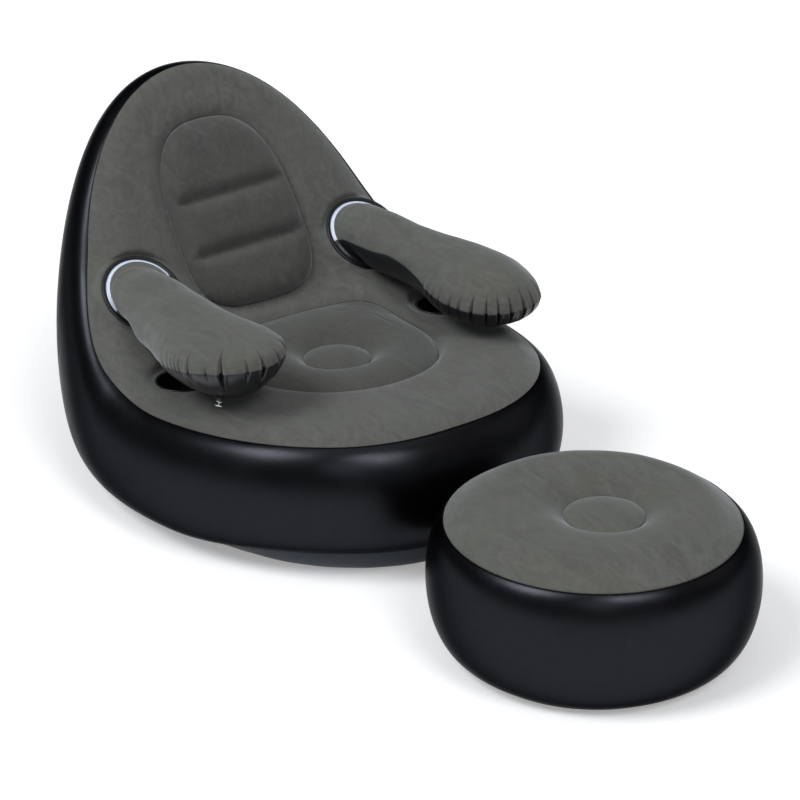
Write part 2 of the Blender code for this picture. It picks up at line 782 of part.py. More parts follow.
def bulged(low, high, outward, bulge, lift, share):
    """Point of a wall that bulges between two welds, share 0 at the lower one."""
    chord = high - low
    along = chord.normalized()
    across = (outward - along * outward.dot(along)).normalized()
    turn = SHOULDER_ANGLE * (2 * share - 1)
    climb = 0.5 + 0.5 * math.sin(turn) / math.sin(SHOULDER_ANGLE)
    climb += lift * 4 * climb * (1 - climb)
    swell = (math.cos(turn) - math.cos(SHOULDER_ANGLE)) / (1 - math.cos(SHOULDER_ANGLE))
    return low + chord * climb + across * (bulge * swell)


def wall_point(sheet, angle, place, share):
    """Place on the chair's wall, share 0 at the base weld and 1 at the flocked sheet."""
    ahead = abs(math.cos(angle)) ** BULGE_POWER
    front = math.cos(angle) >= 0
    bulge = SIDE_BULGE + ((FRONT_BULGE if front else BACK_BULGE) - SIDE_BULGE) * ahead
    lift = SIDE_LIFT_SHARE + ((FRONT_LIFT_SHARE if front else BACK_LIFT_SHARE) - SIDE_LIFT_SHARE) * ahead
    top = sheet.point(place, -sheet_drop(angle))
    return bulged(base_point(angle), top, base_outward(angle), bulge, lift, share)


def trimmed(rows, trim):
    """Rows of a wall with its first and last rows drawn in towards their neighbours."""
    first = [place + (beside - place).normalized() * trim for place, beside in zip(rows[0], rows[1])]
    last = [place + (beside - place).normalized() * trim for place, beside in zip(rows[-1], rows[-2])]
    return [first, *rows[1:-1], last]


def wall_grid(sheet, trim=EDGE_TRIM):
    """Rows of the chair's wall from its base to its top, trimmed at both welds."""
    rows = []
    for row in range(WALL_ROWS + 1):
        share = row / WALL_ROWS
        rows.append([wall_point(sheet, angle, place, share)
                     for angle, place in zip(sheet.seam_angles, sheet.seam)])
    return trimmed(rows, trim)


def facet(rows, row, column):
    """Middle and outward normal of one facet of a grid that strip_faces joins."""
    a = rows[row][column]
    b = rows[row][column + 1]
    c = rows[row + 1][column]
    d = rows[row + 1][column + 1]
    normal = (b - a).cross(d - a).normalized() + (d - a).cross(c - a).normalized()
    return (a + d) / 2, normal.normalized()


def side_wall(sheet, finishes):
    """Black wall between the base and the flocked sheet, with the main valve's hole."""
    rows = wall_grid(sheet)
    points = [place for row in rows for place in row]
    faces = strip_faces(len(rows), SEAM_SAMPLES, closed=True)
    return thicken(add_object("side_wall", points, faces, finishes["black"]), PLAIN_FILM)


def band_point(angle, share):
    """Place on the base band, share 0 at the base weld and 1 at the floor."""
    turn = share * math.pi / 2
    ahead = front_share(angle)
    tuck = (1 - math.cos(turn)) * ahead + math.sin(turn) * (1 - ahead)
    swell = BAND_BULGE * math.sin(2 * turn)
    half_width = BASE_HALF_WIDTH + (FLOOR_HALF_WIDTH - BASE_HALF_WIDTH) * tuck + swell
    half_length = BASE_HALF_LENGTH + (FLOOR_HALF_LENGTH - BASE_HALF_LENGTH) * tuck + swell
    height = weld_height(angle)
    fall = (height - PLAIN_FILM - GAP) * math.sin(turn)
    return oval_point(half_width, half_length, angle, height - fall)


def base_band(sheet, finishes):
    """Band under the base weld, rounding in to the floor sheet."""
    points = []
    for share in BAND_SHARES:
        points += [band_point(angle, share) for angle in sheet.seam_angles]
    faces = strip_faces(len(BAND_SHARES), SEAM_SAMPLES, closed=True, flip=True)
    return thicken(add_object("base_band", points, faces, finishes["band"]), PLAIN_FILM)


def flat_sheet(name, rim, thickness, material, origin=None, parent=None):
    """Flat sheet on the floor, filled inside a rim of places."""
    count = len(rim)
    middle = sum((Vector(place) for place in rim), Vector()) / count
    points = [Vector((place[0], place[1], 0)) for place in rim]
    points += [Vector((place[0], place[1], thickness)) for place in rim]
    points += [Vector((middle[0], middle[1], 0)), Vector((middle[0], middle[1], thickness))]
    faces = []
    for index in range(count):
        after = (index + 1) % count
        faces.append((2 * count, after, index))
        faces.append((2 * count + 1, count + index, count + after))
        faces.append((index, after, count + after))
        faces.append((index, count + after, count + index))
    return add_object(name, points, faces, material, origin, parent)


def weld_outward(path, lower, upper, lower_side, upper_side):
    """Directions off a weld, halfway between the two films that meet there.

    The lower and upper points lie on the two films beside each point of the path. The
    sides are rough outward directions of the films.
    """
    directions = []
    count = len(path)
    for index, place in enumerate(path):
        along = path[(index + 1) % count] - path[index - 1]
        total = Vector()
        for beside, side in ((lower[index], lower_side[index]), (upper[index], upper_side[index])):
            normal = along.cross(beside - place).normalized()
            total += normal if normal.dot(side) > 0 else -normal
        directions.append(total.normalized())
    return directions


def bead(name, path, outward, material, origin=None, parent=None):
    """Weld bead along a closed path, standing off it along the outward directions."""
    count = len(path)
    points = []
    for index, place in enumerate(path):
        along = (path[(index + 1) % count] - path[index - 1]).normalized()
        out = (outward[index] - along * outward[index].dot(along)).normalized()
        side = along.cross(out)
        for corner in range(4):
            turn = corner * math.pi / 2
            points.append(place + out * (BEAD_RADIUS * math.cos(turn)) + side * (BEAD_RADIUS * math.sin(turn)))
    faces = []
    for index in range(count):
        after = (index + 1) % count
        for corner in range(4):
            beside = (corner + 1) % 4
            a = index * 4 + corner
            b = index * 4 + beside
            c = after * 4 + corner
            d = after * 4 + beside
            faces += [(a, b, d), (a, d, c)]
    return add_object(name, points, faces, material, origin, parent)


def rim_weld(sheet, finishes):
    """Bead along the weld between wall and flocked sheet."""
    rows = wall_grid(sheet, trim=0.0)
    inner = [sheet.point(place) for place in grown(sheet.seam, -SHEET_ROW_OFFSETS[0])]
    level = [base_outward(angle) for angle in sheet.seam_angles]
    outward = weld_outward(rows[-1], rows[-2], inner, level, [UP] * len(level))
    path = [place + out * (BEAD_RADIUS - BEAD_SINK) for place, out in zip(rows[-1], outward)]
    return bead("rim_weld", path, outward, finishes["weld"])


def base_weld(sheet, finishes):
    """Bead in the notch between wall and base band."""
    rows = wall_grid(sheet, trim=0.0)
    band = [band_point(angle, BAND_SHARES[1]) for angle in sheet.seam_angles]
    level = [base_outward(angle) for angle in sheet.seam_angles]
    outward = weld_outward(rows[0], band, rows[1], level, level)
    path = []
    for low, high, out in zip(rows[0], rows[1], outward):
        opening = math.sin((high - low).angle(out))
        path.append(low + out * ((BEAD_RADIUS + BEAD_SEAT) / opening))
    return bead("base_weld", path, outward, finishes["weld"])


# Ties inside the chair

def upright_web(name, rim, closed, material, origin=None, parent=None):
    """Thin upright web under a run of places, down to the floor sheet."""
    points = [place - Vector((0, 0, FLOCK_FILM + GAP)) for place in rim]
    points += [Vector((place.x, place.y, PLAIN_FILM + GAP)) for place in rim]
    obj = add_object(name, points, strip_faces(2, len(rim), closed), material, origin, parent)
    return thicken(obj, PLAIN_FILM, offset=0.0)


def seat_ties(sheet, finishes):
    """Webs that hold the seat weld and the seat button down to the floor sheet."""
    count = len(sheet.seat)
    run = count // len(WEB_PLACES)
    half_kept = int(round(run * WEB_COVER_SHARE / 2))
    for web, place in enumerate(WEB_PLACES):
        steps = range(web * run - half_kept, web * run + half_kept + 1)
        rim = [sheet.point(sheet.seat[step % count], -seat_depth(sheet.seat_angles[step % count]))
               for step in steps]
        upright_web(f"seat_tie_{place}", rim, False, finishes["inner"])
    ring = [sheet.point(button_outline_point(circle_share(index, BUTTON_SAMPLES)), -BUTTON_DEPTH)
            for index in range(BUTTON_SAMPLES)]
    upright_web("seat_core_tube", ring, True, finishes["inner"])


def back_tie(name, sheet, s, wall_tree, finishes):
    """Web from a channel of the back cushion to the wall behind it, with two air holes."""
    columns = TIE_COLUMNS
    _, climb = bend(0.0, s)
    inward = -sheet_normal(climb)
    front = []
    rear = []
    for column in range(columns):
        x = TIE_HALF_WIDTH * (2 * column / (columns - 1) - 1)
        place = np.array([x, s])
        start = sheet.point(place, cushion_height(sheet, place)) + inward * (FLOCK_FILM + GAP)
        hit, normal, _, reach = wall_tree.ray_cast(start, inward)
        lean = abs(normal.dot(inward))
        front.append(start)
        rear.append(start + inward * (reach - (PLAIN_FILM + GAP) / lean))
    points = front + rear
    faces = strip_faces(2, columns, closed=False)
    obj = thicken(add_object(name, points, faces, finishes["inner"]), PLAIN_FILM, offset=0.0)
    middle = (front[columns // 2] + rear[columns // 2]) / 2
    turn = sheet_normal(climb).cross(Vector((1, 0, 0)))
    for index, side in enumerate((-1, 1)):
        place = middle + Vector((side * TIE_HALF_WIDTH * TIE_HOLE_PLACE_SHARE, 0, 0))
        frame = standing_frame(place, turn)
        profile = [(0, -CUT_OVERRUN), (TIE_HOLE_RADIUS, -CUT_OVERRUN), (TIE_HOLE_RADIUS, CUT_OVERRUN),
                   (0, CUT_OVERRUN)]
        cutter = turned(f"{name}_hole_guide_{index}", profile, frame, finishes["inner"], VALVE_SEGMENTS)
        cut(obj, cutter, f"air_hole_{index}")
    return obj


# Valves

def valve_profile(flange, neck, bore, lip):
    """Loop of a hollow valve: flange outside the film, stem through it."""
    return [(bore, -STEM_INSIDE), (neck, -STEM_INSIDE), (neck, GAP), (flange, GAP),
            (flange, GAP + FLANGE_THICKNESS), (neck, GAP + FLANGE_THICKNESS), (neck, lip), (bore, lip)]


def plug_with_handle(name, frame, bore, cap, lip, finishes, parent=None):
    """Plug that pulls straight out of its valve by a small T handle."""
    pin = bore - GAP
    low = lip - (lip + STEM_INSIDE) * PLUG_PIN_SHARE
    seat = lip + GAP
    profile = [(0, low), (pin, low), (pin, seat), (cap, seat), (cap, seat + PLUG_CAP), (0, seat + PLUG_CAP)]
    plug = turned(name, profile, frame, finishes["clear"], VALVE_SEGMENTS, frame.translation, parent)
    half = HANDLE_THICKNESS / 2
    top = seat + PLUG_CAP
    stem = box_points(-half, half, -half, half, top - HANDLE_SINK, top + HANDLE_HEIGHT)
    bar = box_points(-HANDLE_LENGTH / 2, HANDLE_LENGTH / 2, -half, half,
                     top + HANDLE_HEIGHT - HANDLE_THICKNESS, top + HANDLE_HEIGHT)
    for index, corners in enumerate((stem, bar)):
        guide = add_object(f"{name}_guide_{index}", [frame @ corner for corner in corners], BOX_FACES,
                           finishes["clear"])
        guide.hide_render = True
        guide.display_type = "WIRE"
        join = plug.modifiers.new(f"handle_{index}", "BOOLEAN")
        join.operation = "UNION"
        join.solver = "EXACT"
        join.object = guide
    return plug


def box_points(x_low, x_high, y_low, y_high, z_low, z_high):
    """Eight corners of a box, in the order that BOX_FACES joins."""
    return [Vector((x, y, z)) for z in (z_low, z_high) for y in (y_low, y_high) for x in (x_low, x_high)]


def fit_valve(prefix, film, place, normal, big, finishes, origin=None, parent=None):
    """Valve and plug set through a film, with the hole that they pass through."""
    flange = BIG_FLANGE_RADIUS if big else SMALL_FLANGE_RADIUS
    neck = BIG_NECK_RADIUS if big else SMALL_NECK_RADIUS
    bore = BIG_BORE_RADIUS if big else SMALL_BORE_RADIUS
    lip = BIG_LIP if big else SMALL_LIP
    cap = BIG_PLUG_RADIUS if big else SMALL_PLUG_RADIUS
    frame = standing_frame(place, normal)
    hole = [(0, -CUT_OVERRUN), (neck + GAP, -CUT_OVERRUN), (neck + GAP, CUT_OVERRUN), (0, CUT_OVERRUN)]
    guide = turned(f"{prefix}_hole_guide", hole, frame, finishes["valve"], VALVE_SEGMENTS)
    cut(film, guide, "valve_hole")
    turned(f"{prefix}_valve", valve_profile(flange, neck, bore, lip), frame, finishes["valve"],
           VALVE_SEGMENTS, origin, parent)
    plug_with_handle(f"{prefix}_valve_plug", frame, bore, cap, lip, finishes)


# Arms

def arm_frame(share, root, lean):
    """Centre, half width, half height and up direction of the arm at a share of its length."""
    straight = float(smooth(share / ARM_STRAIGHT_SHARE))
    neck = float(smooth(share / ARM_NECK_SHARE))
    head = float(smooth((share - ARM_NECK_SHARE) / (ARM_HEAD_SHARE - ARM_NECK_SHARE)))
    half_width = ARM_ROOT_RADIUS + (ARM_NECK_HALF_WIDTH - ARM_ROOT_RADIUS) * neck
    half_width += (ARM_HEAD_HALF_WIDTH - ARM_NECK_HALF_WIDTH) * head
    half_height = ARM_ROOT_RADIUS + (ARM_NECK_HALF_HEIGHT - ARM_ROOT_RADIUS) * straight
    half_height += (ARM_HEAD_HALF_HEIGHT - ARM_NECK_HALF_HEIGHT) * head
    closing = min(1.0, max(0.0, (share - ARM_TIP_SHARE) / (1 - ARM_TIP_SHARE)))
    taper = (1 - closing ** ARM_TIP_POWER) ** (1 / ARM_TIP_POWER)
    tilt = lean + (math.pi / 2 - lean) * straight
    x = root.x + ARM_SPLAY * float(smooth(share / ARM_SPLAY_SHARE))
    y = root.y + (ARM_TIP_Y - root.y) * share
    z = root.z + (ARM_AXIS_HEIGHT - root.z) * straight - ARM_TIP_FALL * share
    return (Vector((x, y, z)), half_width * taper, half_height * taper,
            Vector((0, math.cos(tilt), math.sin(tilt))))


def arm_surface_point(share, angle, root, lean, side):
    """World place on the arm, angle 0 at its outer seam and a quarter turn on top."""
    centre, half_width, half_height, up = arm_frame(share, root, lean)
    place = centre + Vector((half_width * math.cos(angle), 0, 0)) + up * (half_height * math.sin(angle))
    return Vector((side * place.x, place.y, place.z))


def arm_rows(upper, root, lean, side):
    """Rows of the upper or lower film of an arm, each from its outer seam to its inner one."""
    sign = 1 if upper else -1
    rows = []
    for share in ARM_STATION_SHARES:
        lift = arm_frame(share, root, lean)[3] * (sign * EDGE_TRIM / 2)
        rows.append([arm_surface_point(share, sign * math.pi * step / ARM_ANGLES, root, lean, side) + lift
                     for step in range(ARM_ANGLES + 1)])
    return rows


def arm_film(name, upper, root, lean, side, material, origin, parent):
    """Upper or lower film of an arm, from its root to its tip."""
    rows = arm_rows(upper, root, lean, side)
    columns = ARM_ANGLES + 1
    points = [place for row in rows for place in row]
    flip = (side > 0) != upper
    faces = strip_faces(len(rows), columns, closed=False, flip=flip)
    tip = arm_surface_point(1.0, 0.0, root, lean, side)
    last = (len(rows) - 1) * columns
    for step in range(columns - 1):
        face = (last + step, last + step + 1, len(points))
        faces.append(face[::-1] if flip else face)
    points.append(tip + Vector((0, 0, (EDGE_TRIM if upper else -EDGE_TRIM) / 2)))
    thickness = FLOCK_FILM if upper else PLAIN_FILM
    return thicken(add_object(name, points, faces, material, origin, parent), thickness)


def collar_film(name, upper, centre, normal, along, side, material):
    """Half of the flexible collar that joins an arm to its socket."""
    columns = ARM_ANGLES + 1
    foot = SOCKET_BORE_RADIUS * math.cos(math.pi / TURNED_SEGMENTS) - GAP
    rows = ((-SOCKET_DEPTH / 2, foot), (ARM_COLLAR_LENGTH / 2, (foot + ARM_ROOT_RADIUS) / 2),
            (ARM_COLLAR_LENGTH - ARM_COLLAR_GAP, ARM_ROOT_RADIUS))
    trim = EDGE_TRIM / 2 / ARM_ROOT_RADIUS
    points = []
    for height, radius in rows:
        for step in range(columns):
            angle = trim + (math.pi - 2 * trim) * step / ARM_ANGLES
            angle = angle if upper else -angle
            away = Vector((side * radius * math.cos(angle), 0, 0)) + along * (radius * math.sin(angle))
            points.append(centre + away + normal * height)
    flip = (side > 0) != upper
    faces = strip_faces(len(rows), columns, closed=False, flip=flip)
    return thicken(add_object(name, points, faces, material, centre), PLAIN_FILM)


def socket_ring(name, frame, material):
    """Moulded ring that the arm's collar is welded into."""
    profile = [(SOCKET_BORE_RADIUS, -SOCKET_DEPTH), (SOCKET_RADIUS, -SOCKET_DEPTH),
               (SOCKET_RADIUS, SOCKET_HEIGHT - SOCKET_ROUND), (SOCKET_RADIUS - SOCKET_ROUND, SOCKET_HEIGHT),
               (SOCKET_BORE_RADIUS + SOCKET_ROUND, SOCKET_HEIGHT),
               (SOCKET_BORE_RADIUS, SOCKET_HEIGHT - SOCKET_ROUND)]
    return turned(name, profile, frame, material, TURNED_SEGMENTS)


def arm(label, side, pad, finishes):
    """One arm: its socket and collar on the chair, and the films that swing with it."""
    centre = pad["centre"]
    normal = pad["normal"]
    along = pad["along"]
    lean = math.atan2(along.z, along.y)
    frame = standing_frame(centre, normal)
    socket_ring(f"{label}_arm_socket", frame, finishes["black"])
    collar_film(f"{label}_arm_band", True, centre, normal, along, side, finishes["collar"])
    collar_film(f"{label}_arm_cuff", False, centre, normal, along, side, finishes["black"])
    pivot = add_pivot(f"{label}_arm_pivot", centre)
    root = centre + normal * ARM_COLLAR_LENGTH
    root = Vector((abs(root.x), root.y, root.z))
    arm_film(f"{label}_arm_top", True, root, lean, side, finishes["arm_flock"], centre, pivot)
    under = arm_film(f"{label}_arm_underside", False, root, lean, side, finishes["black"], centre, pivot)
    disc_radius = (ARM_ROOT_RADIUS - FLOCK_FILM - EDGE_TRIM) * math.cos(math.pi / ARM_ANGLES / 2) - EDGE_TRIM
    low = ARM_COLLAR_LENGTH + GAP
    disc = [(0, low), (disc_radius, low), (disc_radius, low + ROOT_DISC_THICKNESS), (0, low + ROOT_DISC_THICKNESS)]
    turned(f"{label}_arm_root_disc", disc, frame, finishes["inner"], TURNED_SEGMENTS, centre, pivot)
    place, out = facet(arm_rows(False, root, lean, side), ARM_VALVE_STATION_INDEX, ARM_VALVE_STEP_INDEX)
    out = out if out.z < 0 else -out
    fit_valve(f"{label}_arm", under, place, out, False, finishes, centre, pivot)


# Cup holders

def cup_holder(name, pad, finishes):
    """Plain film cup hung from the deck in a stiff rim."""
    frame = standing_frame(pad["centre"], pad["normal"])
    profile = [(0, -CUP_DEPTH), (CUP_BASE_RADIUS, -CUP_DEPTH), (CUP_BORE_RADIUS + CUP_WALL, -CUP_RIM_DEPTH),
               (CUP_RADIUS, -CUP_RIM_DEPTH), (CUP_RADIUS, CUP_RIM_HEIGHT),
               (CUP_BORE_RADIUS + CUP_WALL, CUP_RIM_HEIGHT), (CUP_BORE_RADIUS, 0),
               (CUP_BORE_RADIUS, -CUP_RIM_DEPTH), (CUP_BASE_RADIUS - CUP_WALL, CUP_WALL - CUP_DEPTH),
               (0, CUP_WALL - CUP_DEPTH)]
    return turned(name, profile, frame, finishes["black"], CUP_SAMPLES)


# Footstool

def stool_point(radius, angle, height):
    """Place round the footstool's axis."""
    return Vector((radius * math.sin(angle), STOOL_Y - radius * math.cos(angle), height))


def stool_button_point(radius, angle, height):
    """Place round the button's axis, which is a little to one side."""
    return stool_point(radius, angle, height) + Vector((STOOL_BUTTON_X, 0, 0))


def stool_wall_point(angle, share):
    """Place on the footstool's wall, share 0 at the floor."""
    low = stool_point(STOOL_BASE_RADIUS, angle, STOOL_BASE_HEIGHT)
    high = stool_point(STOOL_SEAM_RADIUS, angle, STOOL_SEAM_HEIGHT)
    outward = Vector((math.sin(angle), -math.cos(angle), 0))
    bulge = STOOL_BULGE + STOOL_BULGE_SHIFT * math.sin(angle)
    return bulged(low, high, outward, bulge, STOOL_LIFT_SHARE, share)


def stool_top_height(share):
    """Height of the footstool's ring, share 0 at its weld and 1 at the button."""
    if share < STOOL_CROWN_SHARE:
        rise = math.sin(math.pi / 2 * share / STOOL_CROWN_SHARE)
        return STOOL_SEAM_HEIGHT + (STOOL_CROWN_HEIGHT - STOOL_SEAM_HEIGHT) * rise
    fall = (share - STOOL_CROWN_SHARE) / (1 - STOOL_CROWN_SHARE)
    return STOOL_CROWN_HEIGHT - (STOOL_CROWN_HEIGHT - STOOL_BUTTON_HEIGHT) * fall ** STOOL_WELL_POWER


def stool_top_point(angle, share):
    """Place on the footstool's ring cushion, share 0 at its outer weld."""
    outer = stool_point(STOOL_SEAM_RADIUS - EDGE_TRIM, angle, 0)
    inner = stool_button_point(STOOL_BUTTON_RADIUS + GROOVE_TRIM, angle, 0)
    return outer.lerp(inner, share) + Vector((0, 0, stool_top_height(share)))


def footstool(finishes):
    """Round footstool: ring cushion, button, wall, floor sheet, welds, core and valve."""
    centre = Vector((0, STOOL_Y, 0))
    pivot = add_pivot("ottoman_carrier", centre)
    count = STOOL_SEGMENTS
    angles = [circle_share(index, count) for index in range(count)]
    points = [stool_top_point(angle, share) for share in STOOL_ROW_SHARES for angle in angles]
    top = add_object("ottoman_top", points, strip_faces(len(STOOL_ROW_SHARES), count, True),
                     finishes["flock"], centre, pivot)
    thicken(top, FLOCK_FILM)

    def button_place(angle, share):
        height = STOOL_BUTTON_HEIGHT + STOOL_BUTTON_DOME * (1 - share ** 2)
        return stool_button_point((STOOL_BUTTON_RADIUS - GROOVE_TRIM) * share, angle, height)

    domed_disc("ottoman_button", button_place, finishes["flock"], centre, pivot)
    rows = [[stool_wall_point(angle, row / WALL_ROWS) for angle in angles] for row in range(WALL_ROWS + 1)]
    path = rows[-1]
    beside = [stool_top_point(angle, STOOL_ROW_SHARES[1]) for angle in angles]
    level = [stool_point(1, angle, 0) - centre for angle in angles]
    outward = weld_outward(path, rows[-2], beside, level, [UP] * count)
    path = [place + out * (BEAD_RADIUS - BEAD_SINK) for place, out in zip(path, outward)]
    bead("ottoman_rim_weld", path, outward, finishes["weld"], centre, pivot)
    path = [stool_point(STOOL_BASE_RADIUS, angle, PLAIN_FILM + GAP + BEAD_RADIUS) for angle in angles]
    bead("ottoman_base_weld", path, level, finishes["weld"], centre, pivot)
    rows = trimmed(rows, EDGE_TRIM)
    wall = add_object("ottoman_wall", [place for row in rows for place in row],
                      strip_faces(len(rows), count, True), finishes["black"], centre, pivot)
    thicken(wall, PLAIN_FILM)
    rim = [stool_point(STOOL_BASE_RADIUS + STOOL_SHEET_BORDER, angle, 0) for angle in angles]
    flat_sheet("ottoman_floor_sheet", rim, PLAIN_FILM, finishes["black"], centre, pivot)
    ring = [stool_button_point(STOOL_BUTTON_RADIUS, circle_share(index, BUTTON_SAMPLES), STOOL_BUTTON_HEIGHT)
            for index in range(BUTTON_SAMPLES)]
    upright_web("ottoman_core_tube", ring, True, finishes["inner"], centre, pivot)
    place, out = facet(rows, STOOL_VALVE_ROW_INDEX, STOOL_VALVE_COLUMN_INDEX)
    fit_valve("ottoman", wall, place, out, False, finishes, centre, pivot)


def main():
    """Build the chair, its arms and the footstool."""
    for obj in list(bpy.data.objects):
        bpy.data.objects.remove(obj, do_unlink=True)
    finishes = make_materials()
    sheet = BentSheet()
    deck_cover(sheet, finishes)
    seat_cushion(sheet, finishes)
    seat_button(sheet, finishes)
    back_cushion(sheet, finishes)
    wall = side_wall(sheet, finishes)
    base_band(sheet, finishes)
    rim = [oval_point(FLOOR_HALF_WIDTH + FLOOR_SHEET_BORDER, FLOOR_HALF_LENGTH + FLOOR_SHEET_BORDER,
                      angle, 0) for angle in sheet.seam_angles]
    flat_sheet("floor_sheet", rim, PLAIN_FILM, finishes["black"])
    rim_weld(sheet, finishes)
    base_weld(sheet, finishes)
    seat_ties(sheet, finishes)
    rows = wall_grid(sheet)
    tree = BVHTree.FromPolygons([place for row in rows for place in row],
                                strip_faces(len(rows), SEAM_SAMPLES, True))
    lower, upper = channel_places()
    back_tie("back_tie_lower", sheet, lower, tree, finishes)
    back_tie("back_tie_upper", sheet, upper, tree, finishes)
    place, out = facet(rows, CHAIR_VALVE_ROW_INDEX, SEAM_SAMPLES // 2)
    fit_valve("chair", wall, place, out, True, finishes)
    for index, (label, side) in enumerate(SIDES):
        socket_pad, cup_pad = sheet.pads[2 * index], sheet.pads[2 * index + 1]
        arm(label, side, socket_pad, finishes)
        cup_holder(f"{label}_cup_holder", cup_pad, finishes)
    footstool(finishes)


main()
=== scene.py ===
"""Inflatable lounge chair with its round footstool, finished for a studio picture.

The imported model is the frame. Every film, cushion and weld that shows is made again here
at full detail, where the frame holds it. Flat places on the bent sheet of deck and
backrest are (x, s): x across the chair and s along its centre line.
"""

import json
import logging
import math
from collections.abc import Callable, Sequence
from dataclasses import dataclass, field
from enum import Enum

import bpy
import numpy as np
from mathutils import Matrix, Vector, noise
from mathutils.geometry import delaunay_2d_cdt


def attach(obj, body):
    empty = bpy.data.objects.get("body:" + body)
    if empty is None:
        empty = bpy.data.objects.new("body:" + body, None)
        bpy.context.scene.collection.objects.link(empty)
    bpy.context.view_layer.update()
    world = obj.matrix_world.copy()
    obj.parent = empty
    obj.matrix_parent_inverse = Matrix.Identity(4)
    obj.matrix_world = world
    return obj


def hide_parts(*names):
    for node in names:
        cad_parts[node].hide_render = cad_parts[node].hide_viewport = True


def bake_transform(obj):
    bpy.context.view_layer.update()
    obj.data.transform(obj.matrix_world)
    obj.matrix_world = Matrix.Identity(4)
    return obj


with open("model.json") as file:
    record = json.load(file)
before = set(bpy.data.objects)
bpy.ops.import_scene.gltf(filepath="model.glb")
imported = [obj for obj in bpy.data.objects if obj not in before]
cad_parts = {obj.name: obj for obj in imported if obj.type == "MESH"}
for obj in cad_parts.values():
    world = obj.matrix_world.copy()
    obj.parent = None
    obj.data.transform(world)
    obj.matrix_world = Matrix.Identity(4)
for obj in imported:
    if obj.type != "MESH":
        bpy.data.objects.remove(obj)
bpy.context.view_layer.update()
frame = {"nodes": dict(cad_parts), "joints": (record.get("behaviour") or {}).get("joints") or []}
LOG = logging.getLogger("inflatable_chair")

Array = np.ndarray
Faces = list[tuple[int, ...]]
Color = tuple[float, float, float]
Place = tuple[float, float, float]

FLOCK_FILM = 0.0010
PLAIN_FILM = 0.0006
BEAD_RADIUS = 0.0010
RIM_STAND = 0.0004
BASE_STAND = 0.0006
MERGE_DISTANCE = 1e-7
CHUNK = 1500
FULL_TURN = 2 * math.pi
CHAIR = "chair"
OTTOMAN = "ottoman"


class Side(Enum):
    """Side of the chair, as seen from its front."""

    LEFT = -1
    RIGHT = 1

    @property
    def label(self) -> str:
        """Name of the side, as the frame's nodes have it."""
        return self.name.lower()


# Small helpers

def smooth(share: Array) -> Array:
    """Ease from 0 to 1 as the share goes from 0 to 1."""
    held = np.clip(share, 0.0, 1.0)
    return held * held * (3 - 2 * held)


def turn_steps(count: int) -> Array:
    """Angles of even steps round a circle."""
    return FULL_TURN * np.arange(count) / count


def unit(vectors: Array) -> Array:
    """Vectors of length one."""
    return vectors / np.linalg.norm(vectors, axis=-1, keepdims=True)


def ripples(points: Array, length: float, seed: float) -> Array:
    """Smooth noise between about -1 and 1 that varies over a length.

    Args:
        points: Places, one a row.
        length: Distance over which the noise changes.
        seed: Shift that picks another part of the noise.

    Returns:
        One value for each place.
    """
    shift = Vector((seed, -seed, 2 * seed))
    return np.array([noise.noise(Vector(point) / length + shift) for point in points.tolist()])


def swelling(points: Array, *waves: tuple[float, float, float]) -> Array:
    """Sum of ripples, each given by its height, length and seed."""
    return sum(height * ripples(points, length, seed) for height, length, seed in waves)


def eased_shares(count: int, ease: float) -> Array:
    """Shares from 0 to 1, closer together at both ends by the ease."""
    even = np.linspace(0, 1, count)
    return (1 - ease) * even + ease * (0.5 - 0.5 * np.cos(np.pi * even))


def grid_faces(rows: int, columns: int, closed: bool, flip: bool = False) -> Faces:
    """Quads of a grid of rows, each row a run or a ring of columns."""
    faces = []
    steps = columns if closed else columns - 1
    for row in range(rows - 1):
        for column in range(steps):
            after = (column + 1) % columns
            a = row * columns + column
            b = row * columns + after
            face = (a, b, b + columns, a + columns)
            faces.append(face[::-1] if flip else face)
    return faces


def fan_faces(ring: Sequence[int], tip: int, flip: bool = False) -> Faces:
    """Triangles that close a ring of points at one tip."""
    faces = [(ring[step], ring[(step + 1) % len(ring)], tip) for step in range(len(ring))]
    return [face[::-1] for face in faces] if flip else faces


def disc_faces(rows: int, columns: int) -> Faces:
    """Faces of rings that narrow to one middle point, which comes after the last ring."""
    last = (rows - 1) * columns
    return grid_faces(rows, columns, closed=True) + fan_faces(range(last, last + columns), last + columns)


def slab(rings: Sequence[Array], middle: Array, thickness: float) -> tuple[Array, Faces]:
    """Thin flat sheet on the floor.

    Args:
        rings: Rings of its underside, from the middle outwards.
        middle: Place inside the innermost ring.
        thickness: Its thickness.

    Returns:
        Points and faces of the closed sheet.
    """
    columns = len(rings[0])
    rise = np.array([0.0, 0.0, thickness])
    over = [ring + rise for ring in reversed(rings)]
    points = np.concatenate([*rings, *over, [middle], [middle + rise]])
    faces = grid_faces(2 * len(rings), columns, closed=True)
    faces += fan_faces(range(columns), len(points) - 2, flip=True)
    last = (2 * len(rings) - 1) * columns
    return points, faces + fan_faces(range(last, last + columns), len(points) - 1)


def vertex_normals(points: Array, faces: Faces) -> Array:
    """Normals at the points of a surface."""
    mesh = bpy.data.meshes.new("normals")
    mesh.from_pydata(points.tolist(), [], faces)
    normals = np.array([tuple(item.vector) for item in mesh.vertex_normals])
    bpy.data.meshes.remove(mesh)
    return normals


@dataclass(frozen=True)
class Fitting:
    """Where a piece belongs: its body, the nodes it stands for and its finish.

    The body is None for a piece that spans two bodies and is attached to neither.
    """

    body: str | None
    nodes: tuple[str, ...]
    slot: str
    material: bpy.types.Material


